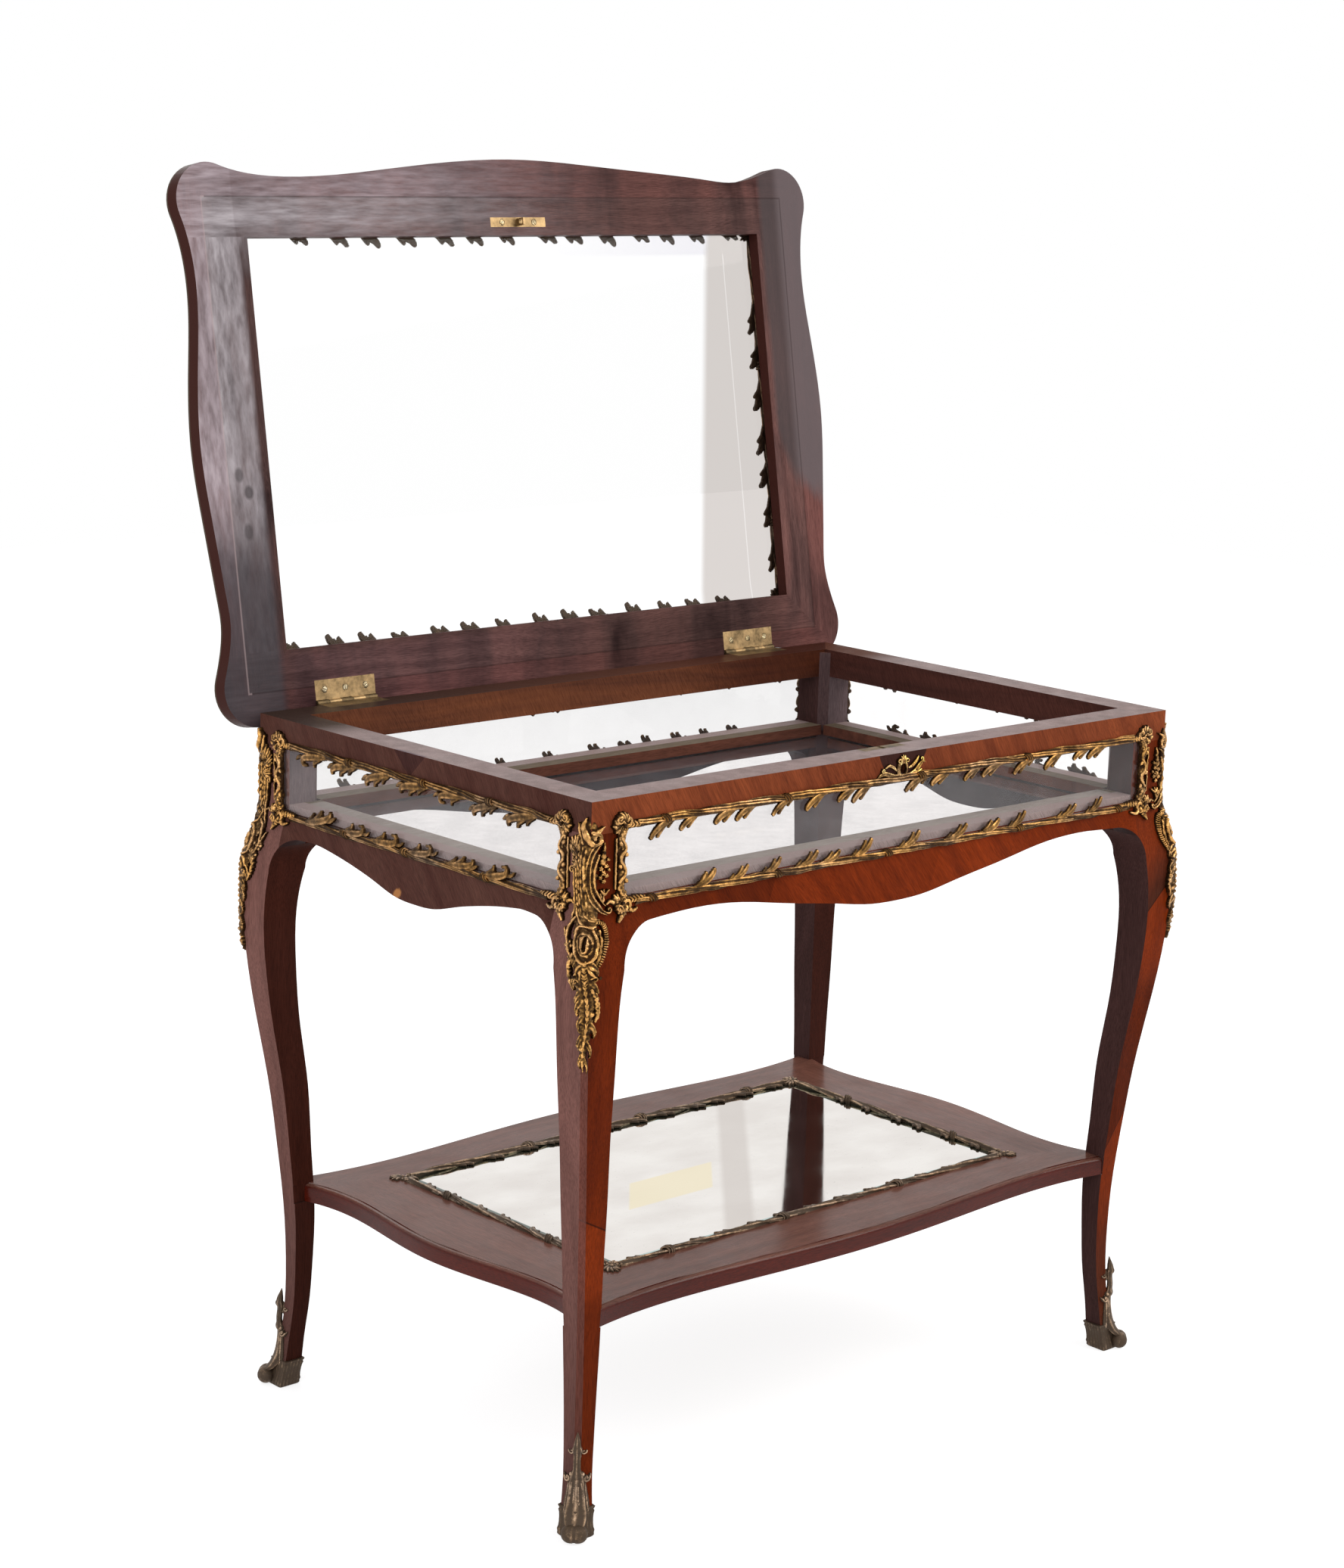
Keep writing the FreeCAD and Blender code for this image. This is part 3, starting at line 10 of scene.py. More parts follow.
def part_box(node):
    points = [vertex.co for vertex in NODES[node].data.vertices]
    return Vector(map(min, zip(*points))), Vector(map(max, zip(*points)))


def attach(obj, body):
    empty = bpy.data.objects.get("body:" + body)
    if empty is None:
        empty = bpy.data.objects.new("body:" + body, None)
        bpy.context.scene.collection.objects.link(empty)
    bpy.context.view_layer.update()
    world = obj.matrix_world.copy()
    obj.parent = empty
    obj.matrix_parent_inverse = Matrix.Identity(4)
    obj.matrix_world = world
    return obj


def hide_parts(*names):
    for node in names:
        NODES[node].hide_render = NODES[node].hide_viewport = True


bl_info = {
    "name": "Collectors display table",
    "version": (1, 0, 0),
    "blender": (4, 5, 0),
    "location": "3D View > Sidebar > Display Table",
    "description": "Veneers, glazing and gilt mounts of a glazed display table with a mirrored shelf",
    "category": "Object",
}

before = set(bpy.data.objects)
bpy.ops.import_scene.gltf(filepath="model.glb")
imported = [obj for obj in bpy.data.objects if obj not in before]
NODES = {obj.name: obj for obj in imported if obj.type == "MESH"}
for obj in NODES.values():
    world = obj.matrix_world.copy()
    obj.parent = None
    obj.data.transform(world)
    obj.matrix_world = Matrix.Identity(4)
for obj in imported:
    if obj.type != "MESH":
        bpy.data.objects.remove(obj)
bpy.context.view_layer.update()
MM = 0.001
HALF_WIDTH = -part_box("upper_rail_left")[0].x / MM
HALF_DEPTH = -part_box("upper_rail_front")[0].y / MM
SHELF_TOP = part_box("mirror_trim")[0].z / MM
LEDGE = 0.6424
LID_TILT = math.radians(9.9)
LID_PIN_Y, LID_PIN_Z = 273.3, 740.0
LID_UNDER, LID_TOP = 0.4, 20.4
LID_OUT = (0.0, 0.985, -0.172)
WHITE = (1.0, 1.0, 1.0, 1.0)
CORNERS = (("front_left", -1, -1), ("front_right", 1, -1), ("back_left", -1, 1), ("back_right", 1, 1))
CORNER_NAMES = tuple(corner[0] for corner in CORNERS)
SIDES = ("front", "right", "back", "left")
UPRIGHT = (0.0, 0.0, 0.0)
NEARLY_UPRIGHT = (0.17, 0.0, 0.0)
ALONG_X = (0.0, math.radians(90), 0.0)
ALONG_Y = (math.radians(90), 0.0, 0.0)
SEED = 41


# ---- Settings that a user would change

def colour(name, description, value):
    return FloatVectorProperty(name=name, description=description, default=value, size=3, min=0.0, max=1.0,
                               subtype="COLOR")


def amount(name, description, value, unit="NONE"):
    return FloatProperty(name=name, description=description, default=value, min=0.0, unit=unit)


class TableFinish(bpy.types.PropertyGroup):
    front: colour("Front veneer", "Veneer of the front and back faces", (0.290, 0.040, 0.006))
    front_dark: colour("Front veneer figure", "Dark figure in the front veneer", (0.125, 0.016, 0.003))
    # The end faces' mauver tone is painted shade: it stands for the cooler, weaker light on those faces, laid
    # over the veneer's own colour.
    side: colour("End veneer", "Veneer of the two end faces", (0.125, 0.052, 0.038))
    side_dark: colour("End veneer figure", "Dark figure in the end veneer", (0.072, 0.024, 0.018))
    leg_side: colour("Leg end veneer", "Veneer of the legs on the end faces", (0.285, 0.128, 0.106))
    # The insides' dark tone is stain with painted shade.
    inner: colour("Leg insides", "Stained inner faces of the legs", (0.046, 0.019, 0.018))
    # The rim's pale grey is dust with painted sheen.
    rim: colour("Rim", "Worn top of the rim", (0.380, 0.285, 0.272))
    lid: colour("Lid underside", "Veneer of the lid's underside", (0.145, 0.078, 0.070))
    lid_dark: colour("Lid figure", "Dark figure in the lid's veneer", (0.066, 0.034, 0.032))
    # The haze is painted sheen over the polish's dull bloom.
    haze: colour("Haze", "Dull bloom on the lid's polish", (0.560, 0.510, 0.540))
    shelf: colour("Shelf", "Veneer of the shelf", (0.215, 0.088, 0.062))
    gilt: colour("Gilding", "Worn gilding on the mounts", (0.405, 0.204, 0.052))
    # The dirt in the recesses also stands for painted shade there.
    gilt_dark: colour("Gilding recesses", "Dirt in the recesses of the mounts", (0.032, 0.013, 0.004))
    patina: colour("Dark bronze", "Patinated bronze of the feet, lid and shelf trims", (0.270, 0.172, 0.100))
    patina_dark: colour("Dark bronze recesses", "Recesses of the patinated bronze", (0.085, 0.056, 0.036))
    brass: colour("Brass", "Old brass of hinges, lock and screws", (0.520, 0.350, 0.170))
    glass: colour("Glass", "Tint of the panes", (0.990, 0.987, 0.985))


class TableOrnament(bpy.types.PropertyGroup):
    grain: amount("Casting grain", "Spacing of the points of a cast relief", 0.00055, "LENGTH")
    sunk: amount("Sinking", "Depth of a mount's back under the wood's face", 0.0006, "LENGTH")
    rod: amount("Rod radius", "Radius of the frames' bound rods", 0.0026, "LENGTH")
    strand: amount("Strand radius", "Radius of the strand wound round each rod", 0.0013, "LENGTH")
    turns: IntProperty(name="Ribbon turns", description="Turns of ribbon in each binding", default=3, min=1)


class TableStudio(bpy.types.PropertyGroup):
    lens: amount("Lens", "Focal length of the camera", 73.80, "CAMERA")
    glow: amount("Floor glow", "Light the floor gives off towards the camera", 0.78)
    shadow: amount("Floor shadow", "Strength of the shadows seen on the floor", 0.60)
    key: amount("Key light", "Power of the key light", 62.0, "POWER")
    fill: amount("Fill light", "Power of the fill and rear lights", 22.0, "POWER")
    world: amount("Surround", "Strength of the pale surround", 0.62)
    floor: colour("Floor", "Colour of the floor", (0.80, 0.80, 0.81))


def finish():
    return bpy.context.scene.display_table_finish


def ornament():
    return bpy.context.scene.display_table_ornament


def studio():
    return bpy.context.scene.display_table_studio


# ---- Materials

def grey(value):
    return (value, value, value)


def scaled(tone, by):
    """A colour times a number or times another colour."""
    return tuple(np.multiply(tuple(tone), by).tolist())


class Field:
    """Output of a node. Sums of fields and numbers add the Math nodes that they need."""

    def __init__(self, nodes, socket):
        self.nodes = nodes
        self.socket = socket

    def __add__(self, other):
        return self.nodes.math("ADD", self, other)

    def __sub__(self, other):
        return self.nodes.math("SUBTRACT", self, other)

    def __rsub__(self, other):
        return self.nodes.math("SUBTRACT", other, self)

    def __mul__(self, other):
        return self.nodes.math("MULTIPLY", self, other)

    def __truediv__(self, other):
        return self.nodes.math("DIVIDE", self, other)

    def __abs__(self):
        return self.nodes.math("ABSOLUTE", self)

    def __gt__(self, other):
        return self.nodes.math("GREATER_THAN", self, other)

    def __lt__(self, other):
        return self.nodes.math("LESS_THAN", self, other)


class Nodes:
    """A node tree, built up from a few words."""
    family = "ShaderNode"

    def __init__(self, tree):
        self.tree = tree
        tree.nodes.clear()

    def feed(self, socket, value):
        """Links a field to an input, or sets the input to a plain value."""
        if isinstance(value, Field):
            self.tree.links.new(value.socket, socket)
        else:
            socket.default_value = value

    def node(self, kind, inputs=(), output=0, **settings):
        """Field of one output of a new node."""
        made = self.tree.nodes.new(kind if "Node" in kind else self.family + kind)
        for key, value in settings.items():
            setattr(made, key, value)
        for key, value in dict(inputs).items():
            self.feed(made.inputs[key], value)
        return Field(self, made.outputs[output])

    def math(self, operation, a, b=0.0):
        return self.node("ShaderNodeMath", {0: a, 1: b}, operation=operation)

    def most(self, first, *others):
        for other in others:
            first = self.math("MAXIMUM", first, other)
        return first

    def least(self, a, b):
        return self.math("MINIMUM", a, b)

    def vector(self, operation, a, b):
        output = "Value" if operation == "DOT_PRODUCT" else "Vector"
        return self.node("ShaderNodeVectorMath", {0: a, 1: b}, output, operation=operation)

    def parts(self, vector):
        """Fields of a vector's x, y and z."""
        return [self.node("ShaderNodeSeparateXYZ", {0: vector}, axis) for axis in range(3)]

    def span(self, value, low, high, to_low=0.0, to_high=1.0, kind="LINEAR"):
        """Maps low to high on to to_low to to_high, and holds the value beyond them."""
        inputs = {"Value": value, "From Min": low, "From Max": high, "To Min": to_low, "To Max": to_high}
        return self.node("ShaderNodeMapRange", inputs, interpolation_type=kind)

    def ease(self, value, *ends):
        """The same, with soft ends."""
        return self.span(value, *ends, kind="SMOOTHSTEP")

    def rays(self, *kinds):
        """Whether any of the given kinds of ray arrives."""
        return self.most(*(self.node("LightPath", (), "Is " + kind + " Ray") for kind in kinds))

    def end(self, kind, shader):
        self.feed(self.tree.nodes.new("ShaderNodeOutput" + kind).inputs["Surface"], shader)


class Paint(Nodes):
    """Nodes of a new material, with the object's place and the surface's direction."""

    def __init__(self, name):
        self.material = bpy.data.materials.new(name)
        self.material.use_nodes = True
        super().__init__(self.material.node_tree)
        coordinates = self.tree.nodes.new("ShaderNodeTexCoord").outputs
        self.place = Field(self, coordinates["Object"])
        self.normal = Field(self, coordinates["Normal"])

    def noise(self, scale, detail=3.0, rough=0.55, warp=0.0, at=None):
        """Noise over the object's place, or over at. scale is a number, or one for each axis."""
        scale = grey(scale) if isinstance(scale, (int, float)) else scale
        inputs = {"Vector": self.vector("MULTIPLY", at or self.place, scale), "Scale": 1.0, "Detail": detail,
                  "Roughness": rough, "Distortion": warp}
        return self.node("TexNoise", inputs, "Fac")

    def mix(self, share, a, b, blend="MIX"):
        made = self.tree.nodes.new("ShaderNodeMix")
        made.data_type = "RGBA"
        made.blend_type = blend
        self.feed(made.inputs[0], share)
        for at, value in ((6, a), (7, b)):
            self.feed(made.inputs[at], (*value, 1.0) if isinstance(value, tuple) else value)
        return Field(self, made.outputs[2])

    def tint(self, tone, by):
        """A tone times another, or times a field."""
        return self.mix(1.0, tone, by, "MULTIPLY")

    def ramp(self, value, stops, steps=False):
        made = self.tree.nodes.new("ShaderNodeValToRGB")
        self.feed(made.inputs[0], value)
        band = made.color_ramp
        band.interpolation = "CONSTANT" if steps else "LINEAR"
        while len(band.elements) < len(stops):
            band.elements.new(0.5)
        for element, (at, tone) in zip(band.elements, stops):
            element.position = at
            element.color = (*tone, 1.0)
        return Field(self, made.outputs["Color"])

    def bump(self, height, strength, distance):
        return self.node("Bump", {"Height": height, "Strength": strength, "Distance": distance})

    def shown(self, shader):
        self.end("Material", shader)
        return self.material

    def done(self, **inputs):
        """Material of one Principled shader with the given inputs."""
        return self.shown(self.node("BsdfPrincipled", {key.replace("_", " "): value for key,
                                                       value in inputs.items()}))


def wood_figure(paint, turn, seed, bands=70.0, full=0.82):
    """Streaks along local Z of the turned coordinates: (share of the light tone, figure, fine pores)."""
    start = (0.37 * seed, 0.61 * seed, 0.23 * seed)
    base = paint.node("Mapping", {"Vector": paint.place, "Rotation": turn, "Location": start})
    sway = paint.noise((5, 5, 2.2), detail=2, at=base)
    bent = paint.vector("ADD", base, paint.vector("MULTIPLY", sway, (0.05, 0.05, 0.0)))
    figure = paint.noise((bands, bands, 3.0), detail=5, rough=0.6, at=bent)
    pores = paint.noise((1500, 1500, 60), detail=2, rough=0.7, at=bent)
    slow = paint.noise((7, 7, 3), at=base)
    return paint.span(figure * 0.75 + slow * 0.45, 0.38, full), figure, pores


def veneer(name, light, dark, turn, seed, shade=None, bands=70.0, rough=0.45, coat=0.0, cover=None):
    """Polished veneer. shade(paint, share, tone) recolours it and cover(paint, tone) lays wear over it."""
    paint = Paint(name)
    share, figure, pores = wood_figure(paint, turn, seed, bands)
    tone = paint.mix(share, dark, light)
    if shade:
        tone = shade(paint, share, tone)
    tone = paint.tint(tone, paint.span(pores, 0.33, 0.62, 0.62, 1.12))
    if cover:
        tone = cover(paint, tone)
    dull = paint.span(paint.noise((22, 22, 14)), 0.3, 0.7, rough - 0.10, rough + 0.12)
    return paint.done(Base_Color=tone, Roughness=dull, Specular_IOR_Level=0.03, Coat_Weight=coat,
                      Coat_Roughness=0.16, Normal=paint.bump(pores * 0.5 + figure * 0.6, 0.16, 0.0004))


def facing(paint):
    """(outward share, end-face share, top share) by the surface's direction and place."""
    nx, ny, nz = paint.parts(paint.normal)
    px, py, _ = paint.parts(paint.place)
    outer = paint.span(nx * paint.math("SIGN", px) + ny * paint.math("SIGN", py), -0.1, 0.15)
    return outer, paint.span(abs(nx), 0.55, 0.8), paint.span(nz, 0.6, 0.85)


def case_wood(name, turn, seed, inner, inner_dark, joints=None, lip=None, side=None, tint=1.0,
              inner_turn=None, cover=None, leg=False):
    """Veneer of a case member: front and end faces differ, the end faces' tone being painted shade; inner
    faces are dark with stain and painted shade, and the top is worn and dusty, with painted sheen, and
    painted shade where the open lid stands over it.
    """
    look = finish()
    # End faces: painted shade, as a mauver tone over the veneer's own colour.
    shaded_end_light, shaded_end_dark = (side, scaled(side, 0.6)) if side else (tuple(look.side), tuple(look.side_dark))

    def shade(paint, share, tone):
        outer, end, top = facing(paint)
        px, py, pz = paint.parts(paint.place)
        shaded_end_tone = paint.mix(share, shaded_end_dark, shaded_end_light)
        if leg:
            shaded_end_tone = paint.tint(shaded_end_tone, paint.span(pz, 0.05, 0.42, 0.55, 1.0))
        if joints:
            tone = joints(paint, tone)
        outside = paint.mix(end, tone, shaded_end_tone)
        within = wood_figure(paint, inner_turn, seed + 1)[0] if inner_turn else share
        hidden = paint.mix(within, inner_dark, inner)
        if leg:
            hidden = leg_inside(paint, hidden, pz)
        tone = paint.mix(outer, hidden, outside)
        # Tops: dust with painted sheen, in the rim's tone; at the back, where the open lid stands over them,
        # painted shade instead, darker towards the left.
        worn = paint.noise(60, detail=4)
        dust = paint.mix(paint.span(worn, 0.35, 0.7), scaled(look.rim, 0.72), tuple(look.rim))
        under_lid = paint.ease(worn * 0.03 + py, 0.125, 0.195)
        lid_shadow = paint.mix(paint.span(px, -0.3, 0.2), (0.045, 0.026, 0.020), (0.120, 0.045, 0.028))
        tone = paint.mix(top, tone, paint.mix(under_lid, dust, lid_shadow))
        # The strip above the ledge takes the rim's grey tone, a little lighter.
        if lip:
            tone = paint.mix(pz > lip, tone, scaled(look.rim, 1.1))
        return tone

    return veneer(name, scaled(look.front, tint), scaled(look.front_dark, tint), turn, seed, shade,
                  cover=cover)


def leg_inside(paint, hidden, pz):
    """Inner faces of a leg, in painted light and shade: lighter where they face left, towards the fill lamp,
    darker and redder where they face front or back; the post within the case is a lighter mauve above the
    ledge where it faces front.
    """
    nx, ny, _ = paint.parts(paint.normal)
    # Painted light and shade by the direction each inner face looks.
    fill_lit = paint.span(nx, -0.8, -0.2, 1.0, 0.0)
    hidden = paint.tint(hidden, paint.mix(fill_lit, (1.45, 0.90, 0.58), (1.80, 1.98, 1.90)))
    dusty = paint.span(ny, -0.9, -0.6, 1.0, 0.0) * paint.span(pz, 0.640, 0.644)
    return paint.mix(dusty, hidden, (0.175, 0.125, 0.130))


def marked(paint, tone, place, spots):
    """Soft-edged oval spots (u, v, half width, half height, colour, share) over a tone; place is (u, v)."""
    for u, v, wide, tall, stain, share in spots:
        x, y = (place[0] - u) / wide, (place[1] - v) / tall
        far = paint.math("SQRT", x * x + y * y)
        tone = paint.mix(paint.span(far, 0.7, 1.15, share, 0.0), tone, stain)
    return tone


def cast_metal(name, light, dark, rough, metallic=0.9, speck=900.0):
    """Cast and chased metal, as a point attribute says: bright where it is rubbed, with painted highlights on
    its ridges, and dirty in its recesses, with painted shade there too.
    """
    paint = Paint(name)
    wear = paint.node("Attribute", (), "Fac", attribute_name="wear")
    fine = paint.noise(speck, detail=2)
    share = paint.span(wear, 0.26, 0.82) + paint.span(paint.noise(140, detail=4), 0.3, 0.7, -0.40, 0.22)
    share = share + paint.span(fine, 0.3, 0.7, -0.12, 0.12)
    dusty = tuple(0.5 * (c + 0.72 * sum(light) / 3) for c in light)
    # The ramp's top stop, far above the metal's own colour, is a painted highlight on the rubbed ridges.
    tones = [paint.ramp(share, ((0.0, dark), (0.36, scaled(peak, 0.30)), (0.68, scaled(peak, 0.74)),
                                (1.0, tuple(min(1.75 * c + 0.03, 1.0) for c in peak))))
             for peak in (light, dusty)]
    tone = paint.mix(paint.span(paint.noise(16), 0.42, 0.66, 0.0, 0.65), *tones)
    dull = paint.span(share, 0.0, 1.0, min(rough + 0.30, 1.0), rough)
    return paint.done(Base_Color=tone, Metallic=metallic, Roughness=dull, Specular_IOR_Level=0.5,
                      Normal=paint.bump(fine, 0.25, 0.0003))


def plain_metal(name, light, dark, rough):
    paint = Paint(name)
    scratch = paint.noise(300)
    share = paint.noise(70, detail=5) * 0.7 + scratch * 0.4
    tone = paint.mix(paint.span(share, 0.38, 0.72), dark, light)
    return paint.done(Base_Color=tone, Metallic=0.95, Roughness=paint.span(scratch, 0.3, 0.7, rough,
                                                                           rough + 0.2),
                      Specular_IOR_Level=0.5, Normal=paint.bump(scratch, 0.12, 0.0002))


def window(name, tint, haze=None, dust=0.0, gloss=0.9, share=1.0, cloudy=0.985, bevel=None):
    """Thin glass: see-through, mirroring by angle, with dust where asked."""
    paint = Paint(name)
    through = paint.tint(tint, paint.span(paint.noise((4, 4, 9), detail=2), 0.35, 0.65, cloudy, 1.0))
    if bevel:
        through = bevel(paint, through)
    clear = paint.node("BsdfTransparent", {"Color": through})
    shine = paint.node("BsdfGlossy", {"Color": (*grey(gloss), 1.0), "Roughness": 0.02})
    leaving = paint.node("NewGeometry", (), "Backfacing")
    angle = paint.node("Fresnel", {"IOR": 1.45}) * ((1.0 - leaving) * share)
    body = paint.node("MixShader", {0: angle, 1: clear, 2: shine})
    if haze:
        grains = paint.span(paint.noise(420, detail=4, rough=0.75), 0.40, 0.70, 0.75, 1.30)
        patch = paint.parts(paint.place)[0] * -0.35 + paint.noise(30)
        settled = grains * paint.span(patch, 0.3, 0.7, dust * 0.55, dust * 1.3)
        powder = paint.node("BsdfDiffuse", {"Color": (*haze, 1.0)})
        body = paint.node("MixShader", {0: settled, 1: body, 2: powder})
    return paint.shown(body)


def dress(material, *names):
    """Gives CAD nodes a material and rounds their shading between creases."""
    for name in names:
        target = NODES[name]
        target.data.materials.clear()
        target.data.materials.append(material)
        target.data.polygons.foreach_set("use_smooth", [True] * len(target.data.polygons))
        if not target.modifiers:
            weld = target.modifiers.new("Weld", "WELD")
            weld.merge_threshold = 0.00001
            split = target.modifiers.new("Creases", "EDGE_SPLIT")
            split.split_angle = math.radians(28)


def group(prefix, places=SIDES):
    return [prefix + "_" + place for place in places]


# ---- Cast reliefs, drawn flat: u across, v up, heights towards the viewer, in millimetres

EDGE_HEIGHT = 0.25
THINNEST = 0.3


def blurred(field, times):
    for _ in range(times):
        for axis in (0, 1):
            field = (np.roll(field, 1, axis) + np.roll(field, -1, axis) + 2 * field) / 4
    return field


def smooth_line(points, pieces=8):
    """Points of a smooth line through the given rows, each of any width."""
    rows = np.array(points, float)
    if len(rows) < 3:
        return np.array([rows[0] + (rows[-1] - rows[0]) * t for t in np.linspace(0, 1, 2 * pieces)])
    ends = np.vstack([2 * rows[0] - rows[1], rows, 2 * rows[-1] - rows[-2]])
    out = []
    for i in range(len(rows) - 1):
        a, b, c, d = ends[i:i + 4]
        for t in np.arange(pieces) / pieces:
            out.append(0.5 * (2 * b + (c - a) * t + (2 * a - 5 * b + 4 * c - d) * t * t
                              + (3 * b - a - 3 * c + d) * t ** 3))
    out.append(rows[-1])
    return np.array(out)


class Relief:
    """Height field of a cast mount, drawn with strokes, bosses, fans and scrolls."""

    def __init__(self, u_low, u_high, v_low, v_high, step=None):
        step = step or ornament().grain / MM
        self.step = step
        self.u = np.arange(u_low, u_high + step, step)
        self.v = np.arange(v_low, v_high + step, step)
        self.height = np.zeros((len(self.v), len(self.u)))

    def window(self, low, high):
        """The part of the field between two corners, with its grids of u and v."""
        j = np.clip(np.searchsorted(self.u, (low[0], high[0])), 0, len(self.u))
        i = np.clip(np.searchsorted(self.v, (low[1], high[1])), 0, len(self.v))
        part = (slice(i[0], i[1]), slice(j[0], j[1]))
        across, up = np.meshgrid(self.u[part[1]], self.v[part[0]])
        return part, across, up

    def raise_to(self, part, inside, height):
        here = self.height[part]
        self.height[part] = np.where(inside, np.maximum(here, height), here)

    def stroke(self, points, lobes=0.0, bite=0.35, ribs=0.0, slant=0.0, rib_depth=0.35, reeds=0, hollow=0.0,
               full=0.5, cut=False):
        """Band along a smooth line through rows of (u, v, half width, height)."""
        line = smooth_line(points)
        run = np.concatenate([[0], np.cumsum(np.hypot(*np.diff(line[:, :2], axis=0).T))])
        reach = line[:, 2].max() + self.step
        part, across, up = self.window(line[:, :2].min(0) - reach, line[:, :2].max(0) + reach)
        if across.size == 0:
            return
        x, y = across.ravel()[:, None], up.ravel()[:, None]
        ax, ay = line[:-1, 0], line[:-1, 1]
        dx, dy = np.diff(line[:, 0]), np.diff(line[:, 1])
        size = np.maximum(dx * dx + dy * dy, 1e-9)
        t = np.clip(((x - ax) * dx + (y - ay) * dy) / size, 0, 1)
        gap_x, gap_y = x - ax - t * dx, y - ay - t * dy
        gap = np.hypot(gap_x, gap_y)
        width = np.maximum(line[:-1, 2] + t * np.diff(line[:, 2]), 0.05)
        best = np.argmin(gap / width, axis=1)
        pick = (np.arange(len(best)), best)
        t, gap, width = t[pick], gap[pick], width[pick]
        side = np.sign(dx[best] * gap_y[pick] - dy[best] * gap_x[pick])
        rise = line[best, 3] + t * np.diff(line[:, 3])[best]
        at = run[best] + t * np.diff(run)[best]
        q = gap / width
        if lobes:
            wave = np.abs(np.sin(math.pi * (at + 0.35 * gap) / lobes))
            q = q / (1 - bite * (1 - wave) * np.clip(q * 1.6, 0, 1))
        inside = (q < 1).reshape(across.shape)
        q = np.clip(q, 0, 1)
        shape = (1 - q * q) ** full
        if hollow:
            shape = shape * (1 - hollow * (1 - np.clip(q / 0.72, 0, 1) ** 2))
        if reeds:
            shape = shape * (1 - 0.3 * (0.5 - 0.5 * np.cos(math.pi * reeds * (q * side + 1))))
        if ribs:
            shape = shape * (1 - rib_depth * (0.5 - 0.5 * np.cos(2 * math.pi * (at / ribs + slant * q))))
        shape = (rise * shape).reshape(across.shape)
        if cut:
            here = self.height[part]
            self.height[part] = np.where(inside, here - np.minimum(shape, here * 0.85), here)
        else:
            self.raise_to(part, inside, shape)

    def boss(self, u, v, wide, tall, rise, turn=0.0, petals=0, hollow=0.0, full=0.5, hole=0.0):
        """Dome, rosette or ring with the given half sizes."""
        reach = max(wide, tall) * 1.05
        part, across, up = self.window((u - reach, v - reach), (u + reach, v + reach))
        if across.size == 0:
            return
        c, s = math.cos(math.radians(turn)), math.sin(math.radians(turn))
        x = ((across - u) * c + (up - v) * s) / wide
        y = ((up - v) * c - (across - u) * s) / tall
        r = np.hypot(x, y)
        if petals:
            wave = np.abs(np.cos(np.arctan2(y, x) * petals / 2))
            r = r / (0.74 + 0.26 * wave)
        inside = (r < 1) & (r >= hole)
        r = np.clip(r, 0, 1)
        shape = (1 - r * r) ** full * (1 - hollow * (1 - np.clip(r / 0.8, 0, 1) ** 2))
        if petals:
            shape = shape * (0.70 + 0.30 * wave)
        self.raise_to(part, inside, rise * shape)

    def fan(self, u, v, start, end, count, near, far, wide, rise, curl=0.0):
        """Leaflets spread from one point between two angles in degrees."""
        for i in range(count):
            share = i / max(count - 1, 1)
            angle = math.radians(start + (end - start) * share)
            span = far * (0.82 + 0.18 * math.sin(math.pi * (share + 0.1)))
            self.stroke([(u + r * math.cos(turn), v + r * math.sin(turn), wide * broad, rise * high) for r,
                         turn, broad, high in ((near, angle, 0.55, 0.8), ((near + span) / 2, angle, 1, 1),
                                               (span, angle + math.radians(curl), 0.45, 0.75))])

    def scroll(self, u, v, radius, start, sweep, wide, rise, shrink=0.25, **style):
        """Volute: a band that winds in round a point."""
        rows = []
        count = max(6, int(abs(sweep) / 30))
        for i in range(count + 1):
            share = i / count
            angle = math.radians(start + sweep * share)
            r = radius * (1 - (1 - shrink) * share)
            rows.append((u + r * math.cos(angle), v + r * math.sin(angle), wide * (1 - 0.35 * share), rise))
        self.stroke(rows, **style)

    def rough_cast(self, amount, seed, coarse=0.0):
        """Small unevenness of the casting, and coarse folds over it."""
        rng = np.random.default_rng(seed)
        change = 0
        for size, times in ((amount, 2), (coarse, 10)):
            grain = blurred(rng.normal(size=self.height.shape), times)
            change = change + size * grain / grain.std()
        rough = np.maximum(self.height + change, THINNEST)
        self.height = np.where(self.height > THINNEST, rough, self.height)


def mesh_object(name, points, quads, smooth, wear):
    mesh = bpy.data.meshes.new(name)
    mesh.vertices.add(len(points))
    mesh.vertices.foreach_set("co", np.ascontiguousarray(points, dtype=np.float32).ravel())
    mesh.loops.add(quads.size)
    mesh.loops.foreach_set("vertex_index", np.ascontiguousarray(quads, dtype=np.int32).ravel())
    mesh.polygons.add(len(quads))
    mesh.polygons.foreach_set("loop_start", np.arange(0, quads.size, 4, dtype=np.int32))
    mesh.polygons.foreach_set("use_smooth", smooth)
    layer = mesh.attributes.new("wear", "FLOAT", "POINT")
    layer.data.foreach_set("value", np.ascontiguousarray(wear, dtype=np.float32))
    mesh.update(calc_edges=True)
    mesh.validate()
    made = bpy.data.objects.new(name, mesh)
    bpy.context.scene.collection.objects.link(made)
    return made


def mirrored(place, u=0.0, v=0.0):
    """Whether a place turns shapes inside out near (u, v)."""
    e = 0.01
    probe = np.array(place(np.array([0, e, 0, 0.0]) + u, np.array([0, 0, e, 0.0]) + v,
                           np.array([0, 0, 0, e])))
    return np.linalg.det((probe[:, 1:] - probe[:, :1]) / e) < 0


